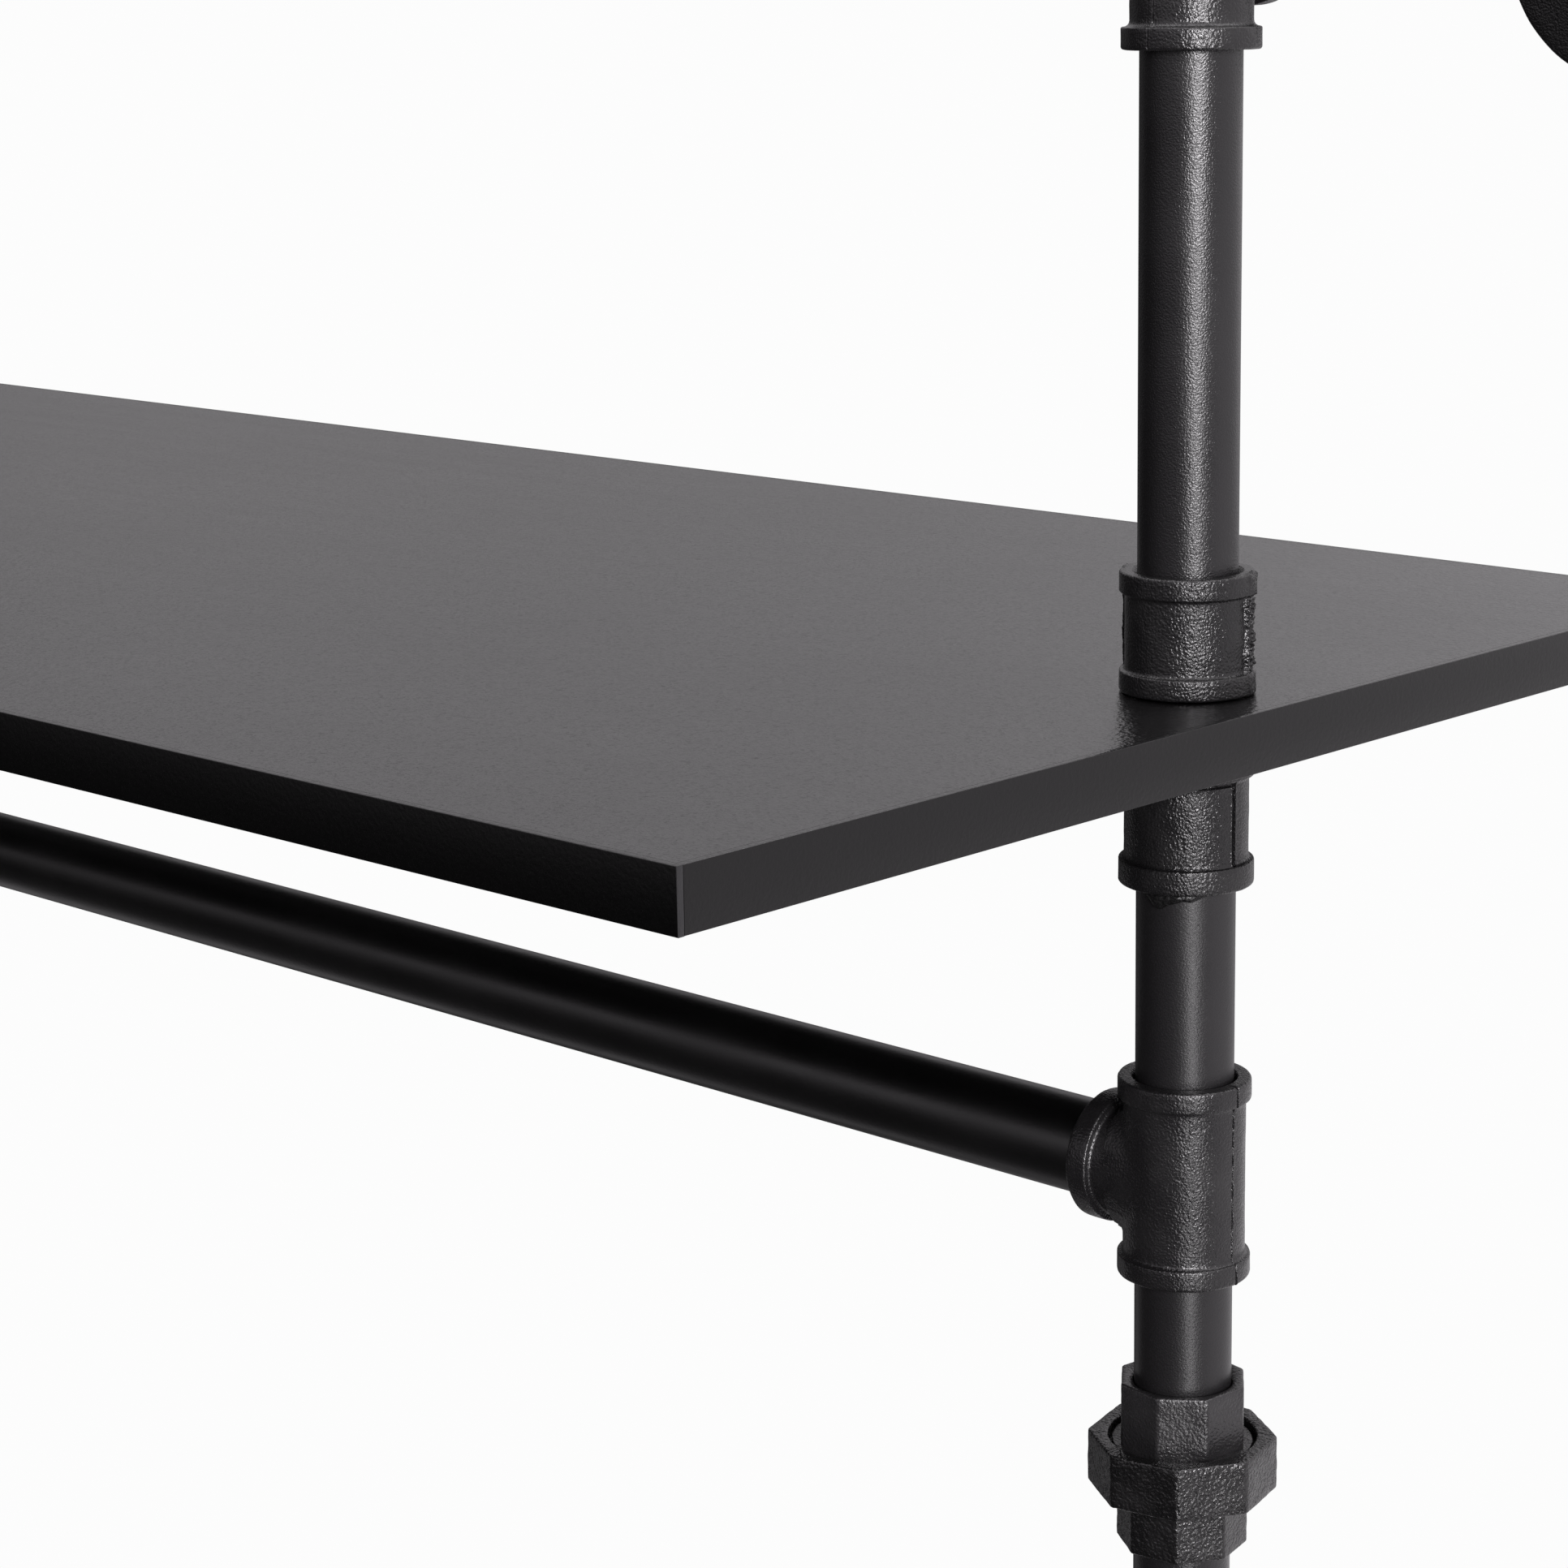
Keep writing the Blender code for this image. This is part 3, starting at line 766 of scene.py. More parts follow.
def carved(name: str, base: bmesh.types.BMesh, joins: Sequence[bmesh.types.BMesh],
           cuts: Sequence[bmesh.types.BMesh]) -> bmesh.types.BMesh:
    """Join some shapes to a base and cut others away from it.

    Args:
        name: A name for the working pieces, which are removed again.
        base: The base.
        joins: The shapes that are joined to it.
        cuts: The shapes that are cut away.

    Returns:
        What is left, as a new shape.
    """
    helpers = []
    for index, shape in enumerate([base, *joins, *cuts]):
        helper = bpy.data.objects.new(f"{name}_work_{index}", to_mesh(shape, f"{name}_work_{index}"))
        bpy.context.scene.collection.objects.link(helper)
        helpers.append(helper)
    for index, helper in enumerate(helpers[1:]):
        boolean = helpers[0].modifiers.new(helper.name, "BOOLEAN")
        boolean.operation = "UNION" if index < len(joins) else "DIFFERENCE"
        boolean.solver = "EXACT"
        boolean.object = helper
    graph = bpy.context.evaluated_depsgraph_get()
    result = bmesh.new()
    result.from_object(helpers[0], graph)
    for helper in helpers:
        mesh = helper.data
        bpy.data.objects.remove(helper)
        bpy.data.meshes.remove(mesh)
    bmesh.ops.remove_doubles(result, verts=result.verts, dist=WELD)
    bmesh.ops.triangulate(result, faces=[face for face in result.faces if len(face.verts) > 4])
    result.normal_update()
    return result


def add_piece(name: str, mesh: bpy.types.Mesh, place: Matrix, body: str,
              nodes: Sequence[str], finishes: Sequence[Finish]) -> None:
    """Set a piece in the frame.

    Args:
        name: The piece's name.
        mesh: Its mesh, which other pieces may share.
        place: Its place in the frame.
        body: The CAD body that it rides on.
        nodes: The CAD nodes that it stands for.
        finishes: The finishes of its material slots.
    """
    if not mesh.materials:
        for finish in finishes:
            mesh.materials.append(finish.material())
    piece = bpy.data.objects.new(name, mesh)
    bpy.context.scene.collection.objects.link(piece)
    piece.matrix_world = place
    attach(piece, body)
    if nodes:
        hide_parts(*nodes)
    LOG.info("%s: %d faces, rides on %s", name, len(mesh.polygons), body)


@dataclass(frozen=True)
class Mouth:
    """A threaded mouth with the bead that stiffens it."""

    bead_radius: float = 0.0181
    bead_width: float = 0.0058
    edge: float = 0.0008
    shoulder: float = 0.0005
    cove: float = 0.0010
    lip_radius: float = 0.01455
    lip_edge: float = 0.0003
    lip_depth: float = 0.0012
    bore_radius: float = 0.01365

    def outside(self, face: float, inward: int, body_radius: float) -> list[Point]:
        """Give the outer profile from the mouth's face to the body.

        Args:
            face: The place of the face.
            inward: 1 or -1, the direction of the body along the path.
            body_radius: The radius that the bead runs out to.

        Returns:
            The (radius, place) points.
        """
        rim, width = self.bead_radius, self.bead_width
        points = [(self.lip_radius + self.lip_edge, 0.0), ((self.lip_radius + rim) / 2, 0.0)]
        points += arc((rim - self.edge, self.edge), self.edge, -90.0, 0.0)
        points += [(rim, width * 0.35), (rim, width * 0.65)]
        points += arc((rim - self.shoulder, width - self.shoulder), self.shoulder, 0.0, 90.0, 3)
        points += arc((body_radius + self.cove, width + self.cove), self.cove, -90.0, -180.0)
        return [(radius, face + inward * depth) for radius, depth in points]

    def inside(self, face: float, inward: int) -> list[Point]:
        """Give the profile of the widened lip, from the face to the bore."""
        return [(self.lip_radius, face + inward * self.lip_edge),
                (self.bore_radius, face + inward * self.lip_depth)]

    def drill(self, face: float, outward: int, margin: float = 0.001) -> list[Ring]:
        """Give the rings of a drill for the widened lip, from the bore out past the face."""
        slope = (self.lip_radius - self.bore_radius) / self.lip_depth
        return round_rings([(self.bore_radius, face - outward * self.lip_depth),
                            (self.lip_radius + slope * margin, face + outward * margin)], cast=False)


class Casting:
    """A cast fitting: one mesh that is set on each post over its CAD node."""

    word: str
    finish: Finish = CASTING
    steps: int = 96

    def mesh(self) -> bpy.types.Mesh:
        """Build the fitting about its own origin."""
        raise NotImplementedError

    def seat(self, side: Side) -> Matrix:
        """Give the fitting's place on a post: on its axis, at the foot of its CAD node."""
        low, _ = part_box(side.node(self.word))
        return side.at(low.z)

    def body(self, side: Side) -> str:
        """Name the CAD body that the fitting rides on."""
        return MAIN_BODY

    def fit(self) -> None:
        """Build the fitting and set it on both posts."""
        mesh = self.mesh()
        for side in Side:
            node = side.node(self.word)
            add_piece(f"{node}_casting", mesh, self.seat(side), self.body(side),
                      [node], [self.finish])


@dataclass
class Coupling(Casting):
    """A beaded sleeve."""

    word: str
    reliefs: list[Relief]
    fine_at: list[float]
    fine_steps: list[float]
    finish: Finish = COARSE_CASTING
    foot: Mouth = field(default_factory=Mouth)
    head: Mouth = field(default_factory=Mouth)
    body_radius: float = 0.0166
    row: float = 0.0003
    steps: int = 88

    def length(self) -> float:
        """Read the sleeve's length from the frame."""
        low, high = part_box(Side.RIGHT.node(self.word))
        return high.z - low.z

    def mesh(self) -> bpy.types.Mesh:
        """Build the sleeve about the middle of its lower face.

        Returns:
            The mesh.
        """
        length = self.length()
        foot = self.foot.outside(0.0, 1, self.body_radius)
        head = self.head.outside(length, -1, self.body_radius)
        bore = self.head.inside(length, -1) + list(reversed(self.foot.inside(0.0, 1)))
        rings = sleeve(foot, head, self.body_radius, self.row) + round_rings(bore, cast=False)
        angles = ring_angles(self.steps, self.fine_at, self.fine_steps)
        return to_mesh(Sweep(angles).shape(rings, self.reliefs), self.word)


@dataclass
class Tee(Casting):
    """The fitting that carries the hanging rod, its branch turned to -X."""

    word: str = "tee"
    body_radius: float = 0.0166
    neck_radius: float = 0.0160
    flare: float = 0.0036
    flare_steps: int = 8
    sunk: float = 0.0006
    row: float = 0.0010
    drill_steps: int = 72
    passage_radius: float = 0.0105
    skin_margin: float = 0.0004
    bore_margin: float = 0.001
    joint_margins: Point = (0.0020, 0.0026)
    joint_passes: int = 5
    mouth: Mouth = field(default_factory=Mouth)
    branch_mouth: Mouth = field(default_factory=lambda: Mouth(bead_width=0.0067))

    def seat(self, side: Side) -> Matrix:
        """Give the tee's place: at the middle of its run, with the branch turned inwards."""
        low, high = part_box(side.node(self.word))
        turn = Matrix.Rotation(0.0 if side is Side.RIGHT else math.pi, 4, "Z")
        return side.at((low.z + high.z) / 2) @ turn

    def reach(self) -> tuple[float, float]:
        """Read from the frame how far the run and the branch reach from the middle."""
        low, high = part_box(Side.RIGHT.node(self.word))
        return (high.z - low.z) / 2, Side.RIGHT.axis().x - low.x

    @staticmethod
    def along_branch(place: float) -> Matrix:
        """Give the frame of the branch's path, which runs along -X."""
        return Matrix.Rotation(-math.pi / 2, 4, "Y") @ Matrix.Translation((0.0, 0.0, place))

    def run(self, end: float) -> bmesh.types.BMesh:
        """Build the solid run.

        Args:
            end: How far it reaches up and down.

        Returns:
            The shape.
        """
        foot = self.mouth.outside(-end, 1, self.body_radius)[1:]
        head = self.mouth.outside(end, -1, self.body_radius)[1:]
        angles = ring_angles(self.steps, [0.0], seam_steps())
        return Sweep(angles).shape(sleeve(foot, head, self.body_radius, self.row), closed=False)

    def branch(self, end: float) -> bmesh.types.BMesh:
        """Build the solid branch, whose neck flares upwards and downwards into the run.

        Args:
            end: How far it reaches along -X.

        Returns:
            The shape.
        """
        rings = round_rings(self.branch_mouth.outside(end, -1, self.neck_radius)[1:])
        start = self.body_radius - self.sunk + self.flare
        rings += round_rings((self.neck_radius, place) for place in rows(rings[-1].place, start, self.row))
        for radius, place in arc((self.flare, start), self.flare, 180.0, 270.0, self.flare_steps):
            rings.append(Ring(self.neck_radius, place, stretch=1.0 + radius / self.neck_radius))
        rings.append(Ring(self.neck_radius, 0.0, stretch=rings[-1].stretch))
        half_step = TURN / (2 * self.steps)
        angles = [angle + half_step for angle in ring_angles(self.steps)]
        return Sweep(angles, self.along_branch).shape(rings, closed=False)

    def drills(self, run_end: float, branch_end: float) -> list[bmesh.types.BMesh]:
        """Build the drills of the run and the branch.

        Args:
            run_end: How far the run reaches.
            branch_end: How far the branch reaches.

        Returns:
            The two shapes.
        """
        half_step = TURN / (2 * self.drill_steps)
        angles = [angle + half_step for angle in ring_angles(self.drill_steps)]
        run = list(reversed(self.mouth.drill(-run_end, -1))) + self.mouth.drill(run_end, 1)
        narrow, wide = self.passage_radius, self.mouth.bore_radius
        stop = wide - self.bore_margin
        branch = round_rings([(narrow, 0.0), (narrow, stop), (wide, stop)], cast=False)
        branch += self.mouth.drill(branch_end, 1)
        return [Sweep(angles).shape(run, closed=False),
                Sweep(angles, self.along_branch).shape(branch, closed=False)]

    def is_outer(self, place: Vector) -> bool:
        """Tell the outer skin from the bores."""
        wall = self.mouth.lip_radius + self.skin_margin
        if math.hypot(place.x, place.y) < wall:
            return False
        return place.x > self.bore_margin - self.mouth.bore_radius or math.hypot(place.y, place.z) > wall

    def near_joint(self, place: Vector) -> bool:
        """Tell whether a place lies where neck and run meet, in the angle that the mould rounds off."""
        off_run = abs(math.hypot(place.x, place.y) - self.body_radius)
        off_neck = abs(math.hypot(place.y, place.z) - self.neck_radius)
        near_run, near_neck = self.joint_margins
        return place.x < 0.0 and off_run < near_run and off_neck < near_neck and self.is_outer(place)

    def mesh(self) -> bpy.types.Mesh:
        """Build the tee about the crossing of its axes.

        Returns:
            The mesh.
        """
        run_end, branch_end = self.reach()
        drills = self.drills(run_end, branch_end)
        shape = carved(self.word, self.run(run_end), [self.branch(branch_end)], drills)
        joint = [vert for vert in shape.verts if self.near_joint(vert.co)]
        for _ in range(self.joint_passes):
            bmesh.ops.smooth_vert(shape, verts=joint, factor=0.5, use_axis_x=True, use_axis_y=True,
                                  use_axis_z=True)
        shape.normal_update()
        outer = [vert for vert in shape.verts if self.is_outer(vert.co)]
        emboss(outer, [Waviness(0.00008, 0.004, 2.0), PartingSeam((0.0, 1.0), seed=6.0)])
        return to_mesh(shape, self.word)


@dataclass
class Elbow(Casting):
    """The top fitting, which turns from the post to the wall."""

    word: str = "elbow"
    body_radius: float = 0.0159
    bend: float = 0.0180
    reach: float = 0.0288
    row: float = 0.0012
    bore_row: float = 0.003
    mouth: Mouth = field(default_factory=lambda: Mouth(cove=0.0016))

    def seat(self, side: Side) -> Matrix:
        """Give the elbow's place, at the crossing of its axes."""
        low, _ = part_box(side.node(self.word))
        return side.at(low.z + self.reach)

    def path(self, distance: float) -> Matrix:
        """Give the frame of the path that rises, bends to +Y and runs on to the wall.

        Args:
            distance: How far along the path, counted from the middle of the bend.

        Returns:
            The frame, with its Z axis along the path and its Y axis out of the bend.
        """
        half = self.bend * math.pi / 4
        within = min(half, max(-half, distance))
        turn = math.pi / 4 + within / self.bend
        ahead = Vector((0.0, math.sin(turn), math.cos(turn)))
        outward = Vector((0.0, -math.cos(turn), math.sin(turn)))
        centre = Vector((0.0, self.bend, -self.bend)) + self.bend * outward + (distance - within) * ahead
        turned = Matrix((Vector((1.0, 0.0, 0.0)), outward, ahead)).transposed().to_4x4()
        return Matrix.Translation(centre) @ turned

    def mesh(self) -> bpy.types.Mesh:
        """Build the elbow about the crossing of its axes.

        Returns:
            The mesh.
        """
        half = self.bend * math.pi / 4
        end = half + self.reach - self.bend
        foot = self.mouth.outside(-end, 1, self.body_radius)
        head = self.mouth.outside(end, -1, self.body_radius)
        passage = [(self.mouth.bore_radius, place) for place in rows(half, -half, self.bore_row)]
        bore = self.mouth.inside(end, -1) + passage + list(reversed(self.mouth.inside(-end, 1)))
        rings = sleeve(foot, head, self.body_radius, self.row) + round_rings(bore, cast=False)
        angles = ring_angles(self.steps, [math.pi / 2, -math.pi / 2], seam_steps())
        reliefs = [Waviness(0.00008, 0.004, 4.0), PartingSeam((1.0, 0.0), 0.00030, seed=8.0)]
        return to_mesh(Sweep(angles, self.path).shape(rings, reliefs), self.word)


@dataclass
class UnionPart(Casting):
    """One of the three eight-sided parts of the union, with places counted from the union's foot."""

    word: str
    turn: float
    finish: Finish = ROUGH_CASTING
    half_flats: float = 0.0167
    edge: float = 0.0006
    end_band: float = 0.0005
    row: float = 0.0012
    corner_steps: tuple[float, ...] = (-4.2, -2.4, -1.1, 1.1, 2.4, 4.2)
    thread_radius: float = 0.0219
    uneven: float = 0.00010
    mouth: Mouth = field(default_factory=Mouth)

    def seat(self, side: Side) -> Matrix:
        """Give the part's place, on the foot of the whole union."""
        low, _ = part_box(side.node("union_socket"))
        return side.at(low.z)

    def span(self) -> Point:
        """Read the part's lowest and highest place, counted from the union's foot."""
        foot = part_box(Side.RIGHT.node("union_socket"))[0].z
        low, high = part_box(Side.RIGHT.node(self.word))
        return low.z - foot, high.z - foot

    def bar(self, low: float, high: float, eased_low: bool, eased_high: bool) -> list[Ring]:
        """Give the rings of an eight-sided bar, going up.

        Args:
            low: Its lower end.
            high: Its upper end.
            eased_low: Whether the lower edge is eased.
            eased_high: Whether the upper edge is eased.

        Returns:
            The rings.
        """
        flats, edge = self.half_flats, self.edge
        inset = flats - edge
        foot = [(inset - self.end_band, low), *arc((inset, low + edge), edge, -90.0, 0.0, 3)]
        head = [*arc((inset, high - edge), edge, 0.0, 90.0, 3), (inset - self.end_band, high)]
        points = foot if eased_low else [(flats, low)]
        points += [(flats, z) for z in rows(low + 2 * edge, high - 2 * edge, self.row)]
        points += head if eased_high else [(flats, high)]
        return [Ring(radius, place, Section.OCTAGON) for radius, place in points]

    def rings(self) -> list[Ring]:
        """Give the rings of the whole part, up its outside and down its bore."""
        raise NotImplementedError

    def mesh(self) -> bpy.types.Mesh:
        """Build the part about the union's foot.

        Returns:
            The mesh.
        """
        corners = [self.turn + EIGHTH * index for index in range(8)]
        offsets = [math.radians(step) for step in self.corner_steps]
        sweep = Sweep(ring_angles(self.steps, corners, offsets), turn=self.turn)
        reliefs = [Waviness(self.uneven, 0.0030, 5.0), Waviness(0.6 * self.uneven, 0.0013, 7.0)]
        return to_mesh(sweep.shape(self.rings(), reliefs), self.word)


@dataclass
class UnionSocket(UnionPart):
    """The lower end: a wrench end and the threaded spigot under the nut."""

    word: str = "union_socket"
    turn: float = math.radians(-12)
    bar_height: float = 0.0157

    def rings(self) -> list[Ring]:
        """Give the rings of the socket.

        Returns:
            The rings, up its outside and down its bore.
        """
        _, top = self.span()
        spigot = [(self.thread_radius, self.bar_height), (self.thread_radius, top)]
        bore = [(self.mouth.bore_radius, top), *reversed(self.mouth.inside(0.0, 1))]
        bar = self.bar(0.0, self.bar_height, True, False)
        return bar + round_rings(spigot, cast=False) + round_rings(bore, cast=False)


@dataclass
class UnionTail(UnionPart):
    """The upper end: a shoulder and collar inside the nut, and the wrench end above it."""

    word: str = "union_tail"
    turn: float = math.radians(15)
    finish: Finish = TAIL_CASTING
    shoulder_low: float = 0.0228
    shoulder_high: float = 0.0273
    collar_radius: float = 0.0194
    collar_high: float = 0.0296
    collar_ease: float = 0.0004
    cone: Point = (0.0160, 0.0180)

    def rings(self) -> list[Ring]:
        """Give the rings of the tail.

        Returns:
            The rings, up its outside and down its bore.
        """
        low, top = self.span()
        ease = self.collar_ease
        tip, root = self.cone
        shoulder = [(self.mouth.bore_radius, low), (tip, low), (root, self.shoulder_low),
                    (self.thread_radius, self.shoulder_low), (self.thread_radius, self.shoulder_high),
                    (self.collar_radius, self.shoulder_high)]
        collar = arc((self.collar_radius - ease, self.collar_high - ease), ease, 0.0, 90.0, 3)
        bar = self.bar(self.collar_high, top, False, True)
        lip = round_rings(self.mouth.inside(top, -1), cast=False)
        return round_rings(shoulder, cast=False) + round_rings(collar) + bar + lip


@dataclass
class UnionNut(UnionPart):
    """The ring nut that draws the two ends together; it turns with its own body."""

    word: str = "union_nut"
    turn: float = math.radians(-10)
    half_flats: float = 0.02415
    uneven: float = 0.00016
    lip_radius: float = 0.0204
    lip: float = 0.0034
    lip_ease: float = 0.0007
    thread_gap: float = 0.0003

    def body(self, side: Side) -> str:
        """Name the nut's own body."""
        return f"{side.value}_nut"

    def rings(self) -> list[Ring]:
        """Give the rings of the nut.

        Returns:
            The rings, up its outside and down its bore.
        """
        low, top = self.span()
        bore = self.thread_radius + self.thread_gap
        ease = self.lip_ease
        hole = arc((self.lip_radius + ease, top - ease), ease, 90.0, 180.0, 3)
        inside = [(self.lip_radius, top - self.lip), (bore, top - self.lip), (bore, low)]
        return self.bar(low, top, True, True) + round_rings(hole) + round_rings(inside, cast=False)


@dataclass
class Flange(Casting):
    """A round foot or wall plate with a threaded hub and open screw holes."""

    word: str
    against_wall: bool
    radius: float = 0.0445
    plate: float = 0.0048
    height: float = 0.0170
    hub_radius: float = 0.0180
    hub_fillet: float = 0.0030
    rim_edge: float = 0.0012
    hole_circle: float = 0.0330
    hole_radius: float = 0.0032
    holes: int = 4
    hole_steps: int = 32
    sink: float = 0.0011
    foot_edge: float = 0.0006
    bore_edge: float = 0.0005
    foot_band: float = 0.006
    plate_row: float = 0.003
    hub_row: float = 0.0015
    drill_margin: float = 0.001
    steps: int = 120
    mouth: Mouth = field(default_factory=Mouth)

    def seat(self, side: Side) -> Matrix:
        """Give the flange's place, flat on the floor or against the wall."""
        low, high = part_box(side.node(self.word))
        if not self.against_wall:
            return side.at(low.z)
        middle = Vector((side.axis().x, high.y, (low.z + high.z) / 2))
        return Matrix.Translation(middle) @ Matrix.Rotation(math.pi / 2, 4, "X")

    def mesh(self) -> bpy.types.Mesh:
        """Build the flange about the middle of its flat face.

        Returns:
            The mesh.
        """
        hub, bore = self.hub_radius, self.mouth.bore_radius
        rim, fillet, lip = self.rim_edge, self.hub_fillet, self.mouth.edge
        profile = [(bore, self.bore_edge), (bore + self.bore_edge, 0.0), (hub + self.foot_band, 0.0),
                   (self.radius - self.foot_edge, 0.0), (self.radius, self.foot_edge)]
        profile += arc((self.radius - rim, self.plate - rim), rim, 0.0, 90.0)
        profile += [(radius, self.plate) for radius in rows(self.radius - rim, hub + fillet, self.plate_row)]
        profile += arc((hub + fillet, self.plate + fillet), fillet, -90.0, -180.0, 6)
        profile += [(hub, z) for z in rows(self.plate + fillet, self.height - lip, self.hub_row)]
        profile += arc((hub - lip, self.height - lip), lip, 0.0, 90.0)
        rings = round_rings(profile) + round_rings(self.mouth.inside(self.height, -1), cast=False)
        plate = Sweep(ring_angles(self.steps)).shape(rings, [Waviness(0.00007, 0.005, 11.0)])
        hole = [(self.hole_radius, -self.drill_margin), (self.hole_radius, self.plate - self.sink),
                (self.hole_radius + 2 * self.sink, self.plate + self.sink)]
        drills = []
        for angle in ring_angles(self.holes):
            centre = Vector((self.hole_circle * math.cos(angle), self.hole_circle * math.sin(angle), 0.0))
            shape = Sweep(ring_angles(self.hole_steps)).shape(round_rings(hole, cast=False), closed=False)
            bmesh.ops.translate(shape, verts=shape.verts, vec=centre)
            drills.append(shape)
        return to_mesh(carved(self.word, plate, [], drills), self.word)


@dataclass
class PipeWork:
    """The coated pipes of the posts and the hanging rod, with eased ends."""

    radius: float = 0.01335
    wall: float = 0.0029
    edge: float = 0.0006
    steps: int = 80
    runs: dict[str, Axis] = field(default_factory=lambda: {
        "riser_pipe": Axis.Z, "link_nipple": Axis.Z, "hanger_nipple": Axis.Z, "shelf_nipple": Axis.Z,
        "upper_pipe": Axis.Z, "wall_arm": Axis.Y})
    nipples: frozenset[str] = frozenset({"link_nipple", "hanger_nipple", "shelf_nipple"})
    rod: str = "hanging_rod"

    def tube(self, name: str, length: float) -> bpy.types.Mesh:
        """Build a length of pipe that stands on its lower end.

        Args:
            name: The mesh's name.
            length: The cut length.

        Returns:
            The mesh.
        """
        inner = self.radius - self.wall
        rim = self.radius - self.edge
        points = [(inner, 0.0), *arc((rim, self.edge), self.edge, -90.0, 0.0, 3)]
        points += [(self.radius, 3 * self.edge), (self.radius, length - 3 * self.edge)]
        points += [*arc((rim, length - self.edge), self.edge, 0.0, 90.0, 3), (inner, length)]
        return to_mesh(Sweep(ring_angles(self.steps)).shape(round_rings(points)), name)

    def lay(self, node: str, axis: Axis, finish: Finish) -> None:
        """Lay a pipe where its CAD node is.

        Args:
            node: The CAD node.
            axis: The direction in which it runs.
            finish: Its coat.
        """
        low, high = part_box(node)
        size = high - low
        length = {Axis.X: size.x, Axis.Y: size.y, Axis.Z: size.z}[axis]
        turn = axis.turn()
        start = (low + high) / 2 - turn.to_3x3() @ Vector((0.0, 0.0, length / 2))
        name = f"{node}_tube"
        place = Matrix.Translation(start) @ turn
        add_piece(name, self.tube(name, length), place, MAIN_BODY, [node], [finish])

    def fit(self) -> None:
        """Lay the pipes of both posts and the rod between them."""
        for side in Side:
            for word, axis in self.runs.items():
                self.lay(side.node(word), axis, NIPPLE_COAT if word in self.nipples else PIPE_COAT)
        self.lay(self.rod, Axis.X, ROD_COAT)


@dataclass
class SealantBead:
    """The black thread sealant that was squeezed out under the right post's lower coupling."""

    start: float = math.radians(-108)
    stop: float = math.radians(-22)
    pipe_radius: float = 0.01335
    thickness: float = 0.0012
    hang: float = 0.0026
    drip: float = 0.0030
    drip_at: float = 0.28
    drip_width: float = 0.16
    swing: float = 0.30
    hang_size: float = 0.22
    thickness_size: float = 0.18
    least_end: float = 0.03
    stand_off: float = 0.6
    tuck: float = 0.0003
    steps: int = 48
    section_steps: int = 12
    sharp: float = 80.0
    seed: float = 21.0

    def ring(self, share: float, foot: Vector) -> list[Vector]:
        """Give one cross-section of the bead.

        Args:
            share: How far along the bead, from 0 to 1.
            foot: The middle of the coupling's lower face.

        Returns:
            The points of the section.
        """
        angle = self.start + (self.stop - self.start) * share
        outward = Vector((math.cos(angle), math.sin(angle), 0.0))
        ends = math.sqrt(max(self.least_end, math.sin(math.pi * share)))
        drip = self.drip * math.exp(-(((share - self.drip_at) / self.drip_width) ** 2))
        hang = self.hang * (1.0 + self.swing * seeded(outward, self.hang_size, self.seed))
        half = 0.5 * ends * (hang + drip)
        swing = self.swing * seeded(outward, self.thickness_size, self.seed + 3.0)
        across = self.thickness * ends * (1.0 + swing)
        out = self.pipe_radius + self.stand_off * self.thickness
        centre = foot + outward * out - Vector((0.0, 0.0, half - self.tuck))
        up = Vector((0.0, 0.0, 1.0))
        turns = ring_angles(self.section_steps)
        return [centre + across * math.cos(t) * outward + half * math.sin(t) * up for t in turns]

    def fit(self) -> None:
        """Build the bead and set it under the coupling."""
        low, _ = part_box(Side.RIGHT.node("lower_coupling"))
        foot = Side.RIGHT.at(low.z).to_translation()
        shape = bmesh.new()
        loops = [[shape.verts.new(point) for point in self.ring(step / self.steps, foot)]
                 for step in range(self.steps + 1)]
        skin(shape, loops, False)
        mesh = to_mesh(shape, "thread_sealant", self.sharp)
        add_piece("right_thread_sealant", mesh, Matrix.Identity(4), MAIN_BODY, [], [SEALANT])


